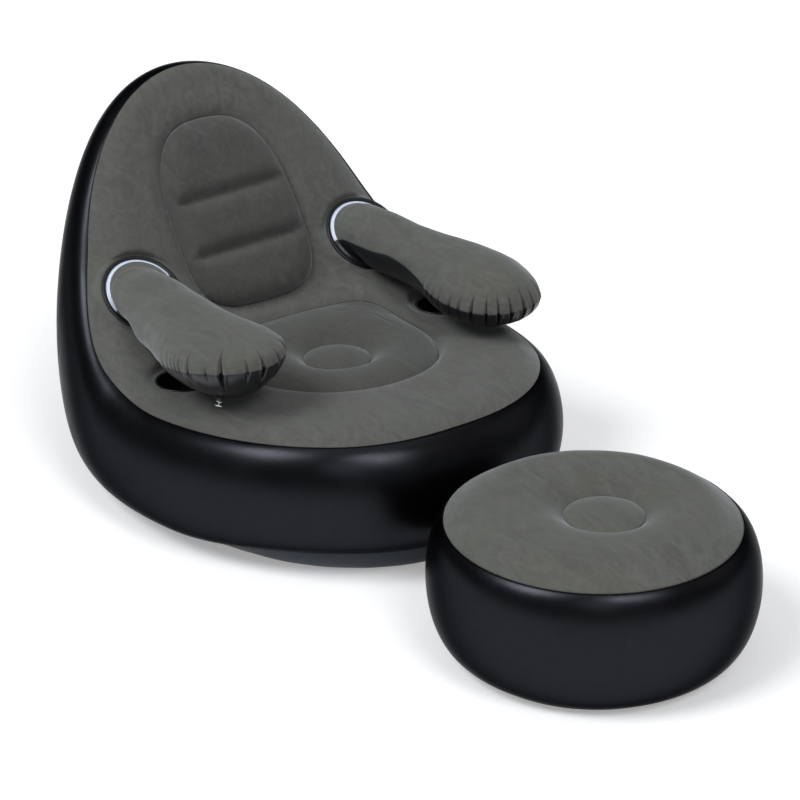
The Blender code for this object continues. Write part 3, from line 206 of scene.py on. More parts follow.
def add_piece(name: str, points: Array, faces: Faces, fitting: Fitting,
              film: float = 0.0) -> bpy.types.Object:
    """Make one piece and seat it in the frame.

    Args:
        name: The piece's name.
        points: Places of its vertices.
        faces: Its faces, facing out.
        fitting: Body, nodes, slot and material.
        film: Thickness of the film, or 0 for a closed piece.

    Returns:
        The new object.
    """
    mesh = bpy.data.meshes.new(name)
    mesh.from_pydata(np.asarray(points).tolist(), [], faces)
    mesh.materials.append(fitting.material)
    mesh.shade_smooth()
    piece = bpy.data.objects.new(name, mesh)
    bpy.context.scene.collection.objects.link(piece)
    if film > 0:
        skin = piece.modifiers.new("film", "SOLIDIFY")
        skin.thickness = film
        skin.offset = -1.0
    if fitting.nodes:
        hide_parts(*fitting.nodes)
    if fitting.body is not None:
        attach(piece, fitting.body)
    return piece


# Loops and holes on the flat sheet

Outline = Callable[[Array], Array]


def two_ended_oval(angle: Array, half_width: float, front: float, rear: float,
                   front_power: float, rear_power: float) -> Array:
    """Points of an oval whose front and rear halves differ, angle 0 at the front."""
    ahead = np.cos(angle) >= 0
    power = np.where(ahead, front_power, rear_power)
    length = np.where(ahead, front, rear)
    sine = np.sin(angle)
    cosine = np.cos(angle)
    x = half_width * np.copysign(np.abs(sine) ** (2 / power), sine)
    y = -length * np.copysign(np.abs(cosine) ** (2 / power), cosine)
    return np.stack([x, y], axis=-1)


def even_loop(outline: Outline, count: int) -> tuple[Array, Array]:
    """Space points evenly along a closed outline.

    Args:
        outline: Gives the flat places at an array of angles.
        count: Number of points.

    Returns:
        The places and their angles.
    """
    fine = turn_steps(12 * count)
    places = outline(fine)
    steps = np.linalg.norm(np.roll(places, -1, axis=0) - places, axis=1)
    length = np.concatenate([[0], np.cumsum(steps)])
    marks = length[-1] * np.arange(count) / count
    angles = np.interp(marks, length[:-1], fine)
    return outline(angles), angles


def grown(loop: Array, distance: float) -> Array:
    """Loop moved outwards by a distance, for a loop that runs anticlockwise."""
    along = unit(np.roll(loop, -1, axis=0) - np.roll(loop, 1, axis=0))
    return loop + np.stack([along[:, 1], -along[:, 0]], axis=1) * distance


def inside(loop: Array, places: Array) -> Array:
    """Whether each flat place lies inside a loop."""
    ends = np.roll(loop, -1, axis=0)
    found = []
    for part in np.array_split(places, max(1, len(places) // CHUNK)):
        x = part[:, :1]
        y = part[:, 1:]
        crosses = (loop[:, 1] > y) != (ends[:, 1] > y)
        rise = np.where(crosses, ends[:, 1] - loop[:, 1], 1.0)
        meets = loop[:, 0] + (y - loop[:, 1]) * (ends[:, 0] - loop[:, 0]) / rise
        found.append(np.count_nonzero(crosses & (x < meets), axis=1) % 2 == 1)
    return np.concatenate(found)


def distance_to(path: Array, places: Array, closed: bool = True) -> tuple[Array, Array]:
    """Distance from places to a path, and the step along it that is nearest to each."""
    ends = np.roll(path, -1, axis=0)
    starts = path if closed else path[:-1]
    span = (ends if closed else ends[:-1]) - starts
    length = (span ** 2).sum(axis=1)
    gaps = []
    steps = []
    for part in np.array_split(places, max(1, len(places) // CHUNK)):
        away = part[:, None, :] - starts[None]
        share = np.clip((away * span).sum(axis=2) / length, 0.0, 1.0)
        gap = np.linalg.norm(away - share[..., None] * span, axis=2)
        nearest = gap.argmin(axis=1)
        picked = np.arange(len(part))
        gaps.append(gap[picked, nearest])
        steps.append(nearest + share[picked, nearest])
    return np.concatenate(gaps), np.concatenate(steps)


def roll(distance: Array, drop: Array, width: Array) -> Array:
    """Height of an edge that rolls down by a drop over a width, at a distance from it."""
    drop, width = np.broadcast_arrays(drop, width)
    away = np.clip(1 - distance / width, 0.0, 1.0)
    slope = 2 * np.arctan(np.minimum(drop / width, 1.0))
    radius = width / np.sin(slope)
    gentle = -radius * (1 - np.sqrt(1 - (away * width / radius) ** 2))
    steep = -drop * (1 - np.sqrt(1 - away ** 2))
    return np.where(drop < width, gentle, steep)


def filled(outline: Array, holes: Sequence[Array], rows: Sequence[float],
           spacing: float) -> tuple[Array, Faces]:
    """Fill a flat outline with triangles, in rows beside its edges and a grid between them.

    Args:
        outline: Outer loop.
        holes: Inner loops.
        rows: Distances of the rows from each loop.
        spacing: Distance between the grid's points.

    Returns:
        Flat places and faces.
    """
    loops = [outline, *holes]
    extra = []
    for index, loop in enumerate(loops):
        for offset in rows:
            row = grown(loop, -offset if index == 0 else offset)
            gaps = np.stack([distance_to(other, row)[0] for other in loops])
            own = (gaps[index] > 0.9 * offset) & (gaps.min(axis=0) > gaps[index] - offset / 4)
            extra.append(row[own])
    low = outline.min(axis=0)
    high = outline.max(axis=0)
    lines = []
    for line, s in enumerate(np.arange(low[1], high[1], spacing * math.sqrt(3) / 2)):
        x = np.arange(low[0], high[0], spacing) + spacing / 2 * (line % 2)
        lines.append(np.stack([x, np.full(len(x), s)], axis=1))
    grid = np.concatenate(lines)
    gaps = np.stack([distance_to(loop, grid)[0] for loop in loops]).min(axis=0)
    extra.append(grid[gaps > rows[-1] + spacing / 2])
    free = np.concatenate(extra)
    keep = inside(outline, free)
    for hole in holes:
        keep &= ~inside(hole, free)
    edges = []
    total = 0
    for loop in loops:
        edges += [(total + step, total + (step + 1) % len(loop)) for step in range(len(loop))]
        total += len(loop)
    vectors = [Vector(place) for place in np.concatenate([*loops, free[keep]]).tolist()]
    out = delaunay_2d_cdt(vectors, edges, [], 0, MERGE_DISTANCE)
    places = np.array([tuple(vertex) for vertex in out[0]])
    corners = np.array([tuple(face) for face in out[2]])
    middles = places[corners].mean(axis=1)
    keep = inside(outline, middles)
    for hole in holes:
        keep &= ~inside(hole, middles)
    a, b, c = (places[corners[:, index]] for index in range(3))
    area = (b[:, 0] - a[:, 0]) * (c[:, 1] - a[:, 1]) - (b[:, 1] - a[:, 1]) * (c[:, 0] - a[:, 0])
    corners = np.where(area[:, None] > 0, corners, corners[:, ::-1])
    return places, [tuple(face) for face in corners[keep].tolist()]


@dataclass(frozen=True)
class Crease:
    """Short fold pressed into a film, from one flat place to another."""

    start: tuple[float, float]
    end: tuple[float, float]
    depth: float
    width: float

    def height(self, places: Array) -> Array:
        """Height of the film beside the fold, below 0 in it and a little above beside it."""
        path = np.array([self.start, self.end])
        gap, step = distance_to(path, places, closed=False)
        fade = np.sin(np.pi * np.clip(step, 0.02, 0.98)) ** 0.7
        groove = np.exp(-(gap / self.width) ** 2)
        shoulder = np.exp(-((gap - 2 * self.width) / self.width) ** 2)
        return self.depth * fade * (0.35 * shoulder - groove)


# The bent sheet of deck and backrest

@dataclass(frozen=True)
class Pad:
    """Flat round place on the sheet that a socket or a cup holder is set into."""

    x: float
    s: float
    centre: Array
    normal: Array
    along: Array
    flat: float
    blend: float


@dataclass
class BentSheet:
    """Shape of the flocked sheet of deck and backrest, with its welds and flat pads."""

    deck_height: float = 0.303
    crease_y: float = 0.129
    back_angle: float = math.radians(55)
    crease_radius: float = 0.060
    bucket_radius: float = 0.410
    bucket_start: float = 0.120
    bucket_end: float = 0.270
    widest_s: float = -0.046
    deck_half_width: float = 0.436
    deck_front: float = 0.610
    back_length: float = 0.626
    back_half_width: float = 0.392
    front_power: float = 2.5
    rim_drop: float = 0.012
    side_drop: float = 0.038
    side_drop_angle: float = math.radians(98)
    roll_angle: float = math.radians(45)
    seat_x: float = 0.010
    seat_s: float = -0.230
    seat_half_width: float = 0.219
    seat_front: float = 0.195
    seat_rear: float = 0.213
    seat_front_depth: float = 0.030
    seat_rear_depth: float = 0.008
    seat_roll: float = 0.022
    seat_powers: tuple[float, float] = (2.05, 4.0)
    cushion_s: float = 0.206
    cushion_half_width: float = 0.157
    cushion_lower: float = 0.172
    cushion_upper: float = 0.250
    cushion_depth: float = 0.012
    cushion_roll: float = 0.040
    cushion_powers: tuple[float, float] = (3.4, 2.6)
    socket_x: float = 0.2856
    socket_s: float = 0.1063
    socket_sink: float = 0.004
    socket_radius: float = 0.0904
    socket_border: float = 0.004
    socket_blend: float = 0.012
    cup_x: float = 0.331
    cup_s: float = -0.156
    cup_sink: float = 0.010
    cup_radius: float = 0.056
    cup_border: float = 0.005
    cup_blend: float = 0.020
    seam_samples: int = 440
    seat_samples: int = 240
    cushion_samples: int = 200

    def __post_init__(self) -> None:
        """Lay out the welds, evenly spaced, and the pads."""
        self.seam, self.seam_angles = even_loop(self.sheet_outline, self.seam_samples)
        self.seat, self.seat_angles = even_loop(self.seat_outline, self.seat_samples)
        self.cushion, _ = even_loop(self.cushion_outline, self.cushion_samples)
        flat = self.socket_radius + self.socket_border
        self.sockets = {side: self.pad(side.value * self.socket_x, self.socket_s, None, self.socket_sink,
                                       flat, self.socket_blend) for side in Side}
        flat = self.cup_radius + self.cup_border
        self.cups = {side: self.pad(side.value * self.cup_x, self.cup_s, 0.0, self.cup_sink,
                                    flat, self.cup_blend) for side in Side}

    def sheet_outline(self, angle: Array) -> Array:
        """Flat places of the outer weld, angle 0 at the front and half a turn on top."""
        front = two_ended_oval(angle, self.deck_half_width, self.deck_front, self.back_length,
                               self.front_power, self.front_power)
        climb = np.maximum(-np.cos(angle), 0.0)
        half = self.deck_half_width + (self.back_half_width - self.deck_half_width) * smooth(2 * climb)
        back = np.stack([half * np.sin(angle), self.back_length * climb], axis=-1)
        ahead = (np.cos(angle) >= 0)[..., None]
        return np.where(ahead, front, back) + np.array([0.0, self.widest_s])

    def seat_outline(self, angle: Array) -> Array:
        """Flat places of the seat cushion's weld."""
        oval = two_ended_oval(angle, self.seat_half_width, self.seat_front, self.seat_rear,
                              *self.seat_powers)
        return oval + np.array([self.seat_x, self.seat_s])

    def cushion_outline(self, angle: Array) -> Array:
        """Flat places of the back cushion's weld."""
        oval = two_ended_oval(angle, self.cushion_half_width, self.cushion_lower, self.cushion_upper,
                              *self.cushion_powers)
        return oval + np.array([0.0, self.cushion_s])

    def bend(self, places: Array) -> tuple[Array, Array]:
        """Places on the bare bent sheet, and the angle that it has climbed there."""
        x, s = places[..., 0], places[..., 1]
        share = (np.abs(x) - self.bucket_start) / (self.bucket_end - self.bucket_start)
        radius = self.crease_radius + (self.bucket_radius - self.crease_radius) * smooth(share)
        reach = radius * math.tan(self.back_angle / 2)
        climb = self.back_angle * np.clip((s + reach) / (2 * reach), 0.0, 1.0)
        before = np.minimum(s + reach, 0.0)
        after = np.maximum(s - reach, 0.0)
        y = self.crease_y - reach + radius * np.sin(climb) + before + after * math.cos(self.back_angle)
        z = self.deck_height + radius * (1 - np.cos(climb)) + after * math.sin(self.back_angle)
        return np.stack([x, y, z], axis=-1), climb

    @staticmethod
    def normal(climb: Array) -> Array:
        """Outward direction of the sheet where it has climbed by an angle."""
        return np.stack([np.zeros_like(climb), -np.sin(climb), np.cos(climb)], axis=-1)

    def pad(self, x: float, s: float, climb: float | None, sink: float, flat: float, blend: float) -> Pad:
        """Lay out one flat place.

        Args:
            x: Place across the chair.
            s: Place along the sheet.
            climb: Slope of the pad, or None for the sheet's own.
            sink: How far it lies under the sheet.
            flat: Radius of the flat part.
            blend: Width over which the sheet rises from it.

        Returns:
            The pad, with its middle and directions in the world.
        """
        centre, sheet_climb = self.bend(np.array([x, s]))
        climb = float(sheet_climb) if climb is None else climb
        normal = self.normal(np.array(climb))
        along = np.array([0.0, math.cos(climb), math.sin(climb)])
        return Pad(x, s, centre - normal * sink, normal, along, flat, blend)

    def rim_drop_at(self, angle: Array) -> Array:
        """How far the sheet has fallen where it reaches its weld."""
        turn = np.arccos(np.clip(np.cos(angle), -1.0, 1.0))
        return self.rim_drop + self.side_drop * np.maximum(0.0, np.cos(turn - self.side_drop_angle)) ** 4

    def seat_depth_at(self, angle: Array) -> Array:
        """How far the seat's weld lies under the bare bend, deepest at the front."""
        ahead = (1 + np.cos(angle)) / 2
        return self.seat_rear_depth + (self.seat_front_depth - self.seat_rear_depth) * ahead

    def relief(self, places: Array) -> Array:
        """Height of the flocked sheet over the bare bend."""
        distance, step = distance_to(self.seam, places)
        drop = self.rim_drop_at(self.seam_angles[step.astype(int) % len(self.seam)])
        height = roll(distance, drop, drop / math.tan(self.roll_angle / 2))
        distance, step = distance_to(self.seat, places)
        distance = np.where(inside(self.seat, places), 0.0, distance)
        depth = self.seat_depth_at(self.seat_angles[step.astype(int) % len(self.seat)])
        height = height + roll(distance, depth, self.seat_roll)
        distance, _ = distance_to(self.cushion, places)
        distance = np.where(inside(self.cushion, places), 0.0, distance)
        return height + roll(distance, self.cushion_depth, self.cushion_roll)

    def point(self, places: Array, height: Array | None = None) -> Array:
        """World places of flat places at a height over the bare bend."""
        places = np.asarray(places, dtype=float)
        height = self.relief(places) if height is None else height
        base, climb = self.bend(places)
        world = base + self.normal(climb) * np.asarray(height)[..., None]
        for pad in (*self.sockets.values(), *self.cups.values()):
            away = np.hypot(places[..., 0] - pad.x, places[..., 1] - pad.s)
            hold = (1 - smooth((away - pad.flat) / pad.blend))[..., None]
            level = pad.centre + (places[..., :1] - pad.x) * np.array([1.0, 0.0, 0.0])
            level = level + pad.along * (places[..., 1:] - pad.s)
            world = world + (level - world) * hold
        return world


# Finishes

class Shader:
    """Node tree of one Principled material."""

    def __init__(self, name: str) -> None:
        """Start a material with its shader at hand."""
        self.material = bpy.data.materials.new(name)
        self.material.use_nodes = True
        self.tree = self.material.node_tree
        self.surface = self.tree.nodes["Principled BSDF"]
        self.places = self.node("ShaderNodeTexCoord").outputs["Object"]

    def node(self, kind: str, inputs: dict | None = None, **settings: object) -> bpy.types.Node:
        """Add a node.

        Args:
            kind: Blender's name of the node type.
            inputs: Values or sockets for its inputs, by name or number.
            settings: Properties of the node.

        Returns:
            The node.
        """
        node = self.tree.nodes.new(kind)
        for name, value in settings.items():
            setattr(node, name, value)
        for name, value in (inputs or {}).items():
            if isinstance(value, bpy.types.NodeSocket):
                self.tree.links.new(value, node.inputs[name])
            else:
                node.inputs[name].default_value = value
        return node

    def noise(self, scale: float, detail: float = 2.0, distortion: float = 0.0,
              stretch: Place = (1.0, 1.0, 1.0)) -> bpy.types.NodeSocket:
        """Noise over the piece, about 0.5 in the middle."""
        mapped = self.node("ShaderNodeMapping", {"Vector": self.places, "Scale": stretch})
        inputs = {"Vector": mapped.outputs["Vector"], "Scale": scale, "Detail": detail,
                  "Roughness": 0.55, "Distortion": distortion}
        return self.node("ShaderNodeTexNoise", inputs).outputs["Fac"]

    def blend(self, factor: bpy.types.NodeSocket, low: object, high: object,
              span: tuple[float, float] = (0.35, 0.65)) -> bpy.types.NodeSocket:
        """Colour that goes from low to high as the factor crosses the span."""
        ramp = self.node("ShaderNodeMapRange", {"Value": factor, "From Min": span[0], "From Max": span[1]})
        mix = self.node("ShaderNodeMix", {"Factor": ramp.outputs["Result"]}, data_type="RGBA")
        for socket, value in ((mix.inputs[6], low), (mix.inputs[7], high)):
            if isinstance(value, bpy.types.NodeSocket):
                self.tree.links.new(value, socket)
            else:
                socket.default_value = (*value, 1.0)
        return mix.outputs[2]

    def bump(self, height: bpy.types.NodeSocket, distance: float, strength: float = 1.0,
             under: bpy.types.NodeSocket | None = None) -> bpy.types.NodeSocket:
        """Normal of a bumpy surface, over another bump if one is given."""
        inputs = {"Height": height, "Distance": distance, "Strength": strength}
        if under is not None:
            inputs["Normal"] = under
        return self.node("ShaderNodeBump", inputs).outputs["Normal"]

    def set(self, **values: object) -> None:
        """Set or link the shader's sockets, with underscores for spaces in their names."""
        for name, value in values.items():
            socket = self.surface.inputs[name.replace("_", " ")]
            if isinstance(value, bpy.types.NodeSocket):
                self.tree.links.new(value, socket)
            else:
                socket.default_value = value


@dataclass(frozen=True)
class Flock:
    """Flocked film: short brushed pile, with marks where a hand has stroked it."""

    name: str
    color: Color
    warmth: float = 0.06
    depth: float = 0.21

    def material(self) -> bpy.types.Material:
        """Build the material."""
        shader = Shader(self.name)
        red, green, blue = self.color
        dark = tuple(channel * (1 - self.depth) for channel in self.color)
        light = tuple(channel * (1 + self.depth) for channel in self.color)
        warm = (red * (1 + self.warmth), green * (1 + self.warmth), blue * (1 - self.warmth))
        patches = shader.noise(7.0, detail=3.0, distortion=0.8)
        strokes = shader.noise(26.0, detail=4.0, distortion=2.2, stretch=(1.0, 0.35, 1.0))
        mottle = shader.noise(120.0, detail=3.0)
        pile = shader.noise(1500.0, detail=2.0)
        color = shader.blend(strokes, dark, light, span=(0.30, 0.70))
        color = shader.blend(patches, color, warm, span=(0.25, 1.05))
        color = shader.blend(mottle, dark, color, span=(0.05, 0.50))
        normal = shader.bump(strokes, 0.0006, 0.5)
        normal = shader.bump(mottle, 0.0004, 0.6, under=normal)
        normal = shader.bump(pile, 0.0003, 0.5, under=normal)
        shader.set(Base_Color=color, Roughness=0.92, Normal=normal, Specular_IOR_Level=0.2)
        shader.set(Sheen_Weight=0.36, Sheen_Roughness=0.45, Sheen_Tint=(0.85, 0.88, 0.92, 1.0))
        shader.material.diffuse_color = (*self.color, 1.0)
        return shader.material


@dataclass(frozen=True)
class Vinyl:
    """Plain welded film, satin or glossy, with a faint unevenness.

    A dark film takes its shine from the metallic layer, whose edge tint keeps the film dark
    at its outline, as the photograph shows it.
    """

    name: str
    color: Color
    roughness: float = 0.36
    specular: float = 0.22
    unevenness: float = 0.0010
    metallic: float = 0.0
    edge_tint: float = 1.0

    def material(self) -> bpy.types.Material:
        """Build the material."""
        shader = Shader(self.name)
        dust = shader.noise(60.0, detail=5.0, distortion=0.4)
        light = tuple(channel * 1.12 for channel in self.color)
        color = shader.blend(dust, self.color, light, span=(0.35, 0.85))
        cloud = shader.noise(16.0, detail=2.0)
        gloss = shader.node("ShaderNodeMapRange", {"Value": cloud, "From Min": 0.3, "From Max": 0.7,
                                                   "To Min": self.roughness - 0.03,
                                                   "To Max": self.roughness + 0.04})
        normal = shader.bump(shader.noise(9.0, detail=1.0), self.unevenness, 0.5)
        normal = shader.bump(shader.noise(900.0, detail=2.0), 0.00006, 0.5, under=normal)
        shader.set(Base_Color=color, Roughness=gloss.outputs["Result"], Normal=normal)
        shader.set(Specular_IOR_Level=self.specular, Metallic=self.metallic)
        shader.set(Specular_Tint=(self.edge_tint, self.edge_tint, self.edge_tint, 1.0))
        shader.material.diffuse_color = (*self.color, 1.0)
        return shader.material


@dataclass(frozen=True)
class Clear:
    """Clear soft plastic of the valve plugs."""

    name: str
    color: Color

    def material(self) -> bpy.types.Material:
        """Build the material."""
        shader = Shader(self.name)
        cloud = shader.noise(300.0, detail=2.0)
        color = shader.blend(cloud, self.color, (1.0, 1.0, 1.0))
        shader.set(Base_Color=color, Roughness=0.18, Transmission_Weight=0.45, IOR=1.45)
        shader.material.diffuse_color = (*self.color, 1.0)
        return shader.material


@dataclass
class Finishes:
    """Every finish of the chair and the footstool, built once."""

    flock: bpy.types.Material = field(init=False)
    seat_flock: bpy.types.Material = field(init=False)
    arm_flock: bpy.types.Material = field(init=False)
    black: bpy.types.Material = field(init=False)
    under: bpy.types.Material = field(init=False)
    band: bpy.types.Material = field(init=False)
    collar: bpy.types.Material = field(init=False)
    weld: bpy.types.Material = field(init=False)
    inner: bpy.types.Material = field(init=False)
    clear: bpy.types.Material = field(init=False)
    moulding: bpy.types.Material = field(init=False)

    def __post_init__(self) -> None:
        """Build the materials."""
        self.flock = Flock("grey_flock_pile", (0.0880, 0.0893, 0.0828)).material()
        # The cushions' flock is the deck's flock made darker: painted shade for the sunken seat, its button
        # and the back cushion.
        self.seat_flock = Flock("seat_flock_pile", (0.0625, 0.0636, 0.0587)).material()
        self.arm_flock = Flock("arm_flock_pile", (0.0900, 0.0915, 0.0835)).material()
        self.black = Vinyl("black_satin_film", (0.0195, 0.0201, 0.0230), 0.31, metallic=1.0,
                           edge_tint=0.42).material()
        self.under = Vinyl("black_arm_film", (0.0100, 0.0103, 0.0120), 0.32, 0.40).material()
        self.band = Vinyl("blue_grey_base_film", (0.030, 0.037, 0.049), 0.42, 0.25).material()
        self.collar = Vinyl("pale_collar_film", (0.57, 0.63, 0.74), 0.25, 0.5).material()
        self.weld = Vinyl("weld_bead_film", (0.014, 0.014, 0.017), 0.40, metallic=1.0,
                          edge_tint=0.3).material()
        self.inner = Vinyl("inner_web_film", (0.030, 0.030, 0.034), 0.45, 0.3).material()
        self.clear = Clear("clear_plug_plastic", (0.80, 0.83, 0.86)).material()
        self.moulding = Vinyl("valve_moulding_plastic", (0.026, 0.026, 0.028), 0.35, 0.4).material()


# Turned pieces and beads

Profile = Sequence[tuple[float, float]]


def rounded(corners: Profile, radius: float, steps: int = 4) -> Profile:
    """Closed profile with its corners rounded, apart from those on the axis.

    Args:
        corners: (radius, height) corners of a closed loop.
        radius: Distance from each corner at which its round begins.
        steps: Points on each round.

    Returns:
        The finer profile.
    """
    made: list[tuple[float, float]] = []
    count = len(corners)
    for index, corner in enumerate(corners):
        here = np.array(corner)
        if here[0] == 0:
            made.append(corner)
            continue
        before = np.array(corners[index - 1]) - here
        after = np.array(corners[(index + 1) % count]) - here
        cut = min(radius, 0.45 * np.linalg.norm(before), 0.45 * np.linalg.norm(after))
        start = here + before / np.linalg.norm(before) * cut
        end = here + after / np.linalg.norm(after) * cut
        for share in np.linspace(0, 1, steps):
            place = start * (1 - share) ** 2 + here * (2 * share * (1 - share)) + end * share ** 2
            made.append((float(place[0]), float(place[1])))
    return made


def standing_frame(place: Array, normal: Array) -> Matrix:
    """Matrix whose Z axis follows the normal, with its origin at the place."""
    turn = Vector(normal).normalized().to_track_quat("Z", "Y").to_matrix().to_4x4()
    return Matrix.Translation(Vector(place)) @ turn


def turned(profile: Profile, place: Matrix, segments: int = 72) -> tuple[Array, Faces]:
    """Closed ring or disc turned about the Z axis of a place.

    The profile runs anticlockwise when the radius points right and the height up.
    """
    points = []
    rings = []
    for radius, height in profile:
        if radius == 0:
            rings.append([len(points)])
            points.append(tuple(place @ Vector((0, 0, height))))
            continue
        rings.append(list(range(len(points), len(points) + segments)))
        for angle in turn_steps(segments):
            spot = Vector((radius * math.cos(angle), radius * math.sin(angle), height))
            points.append(tuple(place @ spot))
    faces: Faces = []
    for index, ring in enumerate(rings):
        other = rings[(index + 1) % len(rings)]
        if len(ring) == 1 and len(other) == 1:
            continue
        for step in range(segments):
            after = (step + 1) % segments
            if len(ring) == 1:
                faces.append((ring[0], other[after], other[step]))
            elif len(other) == 1:
                faces.append((ring[step], ring[after], other[0]))
            else:
                faces.append((ring[step], ring[after], other[after], other[step]))
    return np.array(points), faces


def core_tube(x: float, y: float, radius: float, top: float, low: float = 0.002) -> tuple[Array, Faces]:
    """Upright film tube between a bottom sheet and a button."""
    corners = [(radius - PLAIN_FILM, low), (radius, low), (radius, top), (radius - PLAIN_FILM, top)]
    return turned(corners, Matrix.Translation((x, y, 0.0)))


def bead(path: Array, outward: Array, radius: float | Array, closed: bool = True,
         sides: int = 8) -> tuple[Array, Faces]:
    """Round bead along a path, standing off it by its radius.

    Args:
        path: Places along the weld.
        outward: Directions off the weld.
        radius: Radius of the bead, or one for each place.
        closed: Whether the path is a loop.
        sides: Sides of the bead.

    Returns:
        Points and faces.
    """
    radius = np.broadcast_to(np.asarray(radius, dtype=float), (len(path),))[:, None]
    along = np.roll(path, -1, axis=0) - np.roll(path, 1, axis=0)
    if not closed:
        along[0] = path[1] - path[0]
        along[-1] = path[-1] - path[-2]
    along = unit(along)
    out = unit(outward - along * (outward * along).sum(axis=1, keepdims=True))
    side = np.cross(along, out)
    rows = []
    for turn in turn_steps(sides):
        rows.append(path + out * radius * math.cos(turn) + side * radius * math.sin(turn))
    points = np.stack(rows, axis=1).reshape(-1, 3)
    count = len(path)
    faces = grid_faces(count, sides, closed=True)
    if closed:
        last = (count - 1) * sides
        faces += [(last + k, last + (k + 1) % sides, (k + 1) % sides, k) for k in range(sides)]
    else:
        faces.append(tuple(range(sides)))
        faces.append(tuple(range((count - 1) * sides, count * sides))[::-1])
    return points, faces


# Covers of the chair

@dataclass
class Covers:
    """Flocked pieces of the chair: deck and backrest, seat ring, button and back cushion."""

    sheet: BentSheet
    finishes: Finishes
    spacing: float = 0.0085
    cushion_spacing: float = 0.0055
    socket_samples: int = 96
    cup_samples: int = 72
    button_columns: int = 72
    weld_hold: float = 0.040
    cushion_hold: float = 0.030
    edge_rows: tuple[float, ...] = (0.0015, 0.0040, 0.0080, 0.0130, 0.0190, 0.0260)
    edge_gap: float = 0.00005
    button_x: float = 0.015
    button_s: float = -0.2215
    button_radius: float = 0.072
    core_gap: float = 0.003
    button_depth: float = 0.028
    button_dome: float = 0.015
    seat_crown: float = 0.001
    crest_share: float = 0.38
    crest_shift: float = 0.16
    rise_power: float = 2.2
    rise_fullness: float = 0.72
    well_power: float = 2.6
    seat_rows: int = 64
    deck_crown: float = 0.008
    crown_edge: float = 0.022
    crown_start: float = -0.250
    crown_run: float = 0.120
    crown_width: float = 0.060
    cushion_crown: float = 0.030
    cushion_edge: float = 0.060
    channel_shares: tuple[float, ...] = (0.298, 0.588)
    channel_depth: float = 0.018
    channel_width: float = 0.015
    channel_end: float = 0.008
    channel_fade: float = 0.040
    channel_tilt: float = 0.03
    seat_creases: tuple[Crease, ...] = (
        Crease((0.150, -0.062), (0.186, -0.118), 0.0016, 0.0030),
        Crease((0.120, -0.070), (0.165, -0.085), 0.0012, 0.0025),
        Crease((0.172, -0.110), (0.178, -0.205), 0.0014, 0.0040),
        Crease((0.085, -0.135), (0.140, -0.120), 0.0012, 0.0035),
        Crease((-0.150, -0.060), (-0.182, -0.110), 0.0014, 0.0030),
    )

    def fit(self, node: str) -> Fitting:
        """Fitting of a flocked piece of the chair; its cushions take a darker copy of the flock, which is
        painted shade.
        """
        pile = self.finishes.flock if node == "deck_cover" else self.finishes.seat_flock
        return Fitting(CHAIR, (node,), "grey_flock", pile)

    def round_hole(self, x: float, s: float, radius: float, count: int) -> Array:
        """Loop round a socket or a cup holder, on the flat sheet."""
        angle = turn_steps(count)
        reach = radius + self.edge_gap
        return np.stack([x + reach * np.sin(angle), s - reach * np.cos(angle)], axis=1)

    def deck(self) -> bpy.types.Object:
        """Flocked sheet of deck and backrest."""
        sheet = self.sheet
        holes = [grown(sheet.seat, self.edge_gap), grown(sheet.cushion, self.edge_gap)]
        for side in Side:
            x = side.value * sheet.socket_x
            holes.append(self.round_hole(x, sheet.socket_s, sheet.socket_radius, self.socket_samples))
            x = side.value * sheet.cup_x
            holes.append(self.round_hole(x, sheet.cup_s, sheet.cup_radius, self.cup_samples))
        outline = grown(sheet.seam, -self.edge_gap)
        places, faces = filled(outline, holes, self.edge_rows, self.spacing)
        points = sheet.point(places)
        gaps = [distance_to(loop, places)[0] for loop in (outline, *holes)]
        held = smooth(np.stack(gaps).min(axis=0) / self.weld_hold)
        swell = swelling(points, (0.0012, 0.17, 3.0), (0.0004, 0.05, 8.0))
        front = smooth((self.crown_start - places[:, 1]) / self.crown_run)
        sides = smooth(gaps[0] / self.crown_width) * smooth(gaps[1] / self.crown_edge)
        swell = swell + self.deck_crown * front * sides
        _, climb = sheet.bend(places)
        points = points + sheet.normal(climb) * (held * swell)[:, None]
        return add_piece("deck_skin", points, faces, self.fit("deck_cover"), FLOCK_FILM)

    def seat_ring(self) -> bpy.types.Object:
        """Ring cushion of the seat, sunk between its two welds."""
        sheet = self.sheet
        centre = np.array([self.button_x, self.button_s])
        outer = grown(sheet.seat, -self.edge_gap)
        inner = centre + unit(sheet.seat - centre) * (self.button_radius + self.edge_gap)
        share = eased_shares(self.seat_rows, 0.7)[:, None]
        places = outer[None] + (inner - outer)[None] * share[..., None]
        depth = sheet.seat_depth_at(sheet.seat_angles)[None]
        ahead = (1 + np.cos(sheet.seat_angles)[None]) / 2
        crest = self.crest_share + self.crest_shift * ahead
        climb = np.minimum(share / crest, 1.0)
        fall = np.clip((share - crest) / (1 - crest), 0.0, 1.0)
        rise = (1 - (1 - climb) ** self.rise_power) ** self.rise_fullness
        height = -depth + (depth + self.seat_crown) * rise
        height = height - (self.seat_crown + self.button_depth) * fall ** self.well_power
        flat = places.reshape(-1, 2)
        hold = smooth(share * 6) * smooth((1 - share) * 6)
        folds = sum(crease.height(flat) for crease in self.seat_creases).reshape(height.shape)
        height = height + hold * folds
        points = sheet.point(flat, height.reshape(-1))
        swell = swelling(points, (0.0014, 0.09, 5.0), (0.0004, 0.03, 1.0))
        points[:, 2] += (hold * swell.reshape(height.shape)).reshape(-1)
        faces = grid_faces(self.seat_rows, len(outer), closed=True)
        piece = add_piece("seat_ring_cushion", points, faces, self.fit("seat_cushion"), FLOCK_FILM)
        return piece

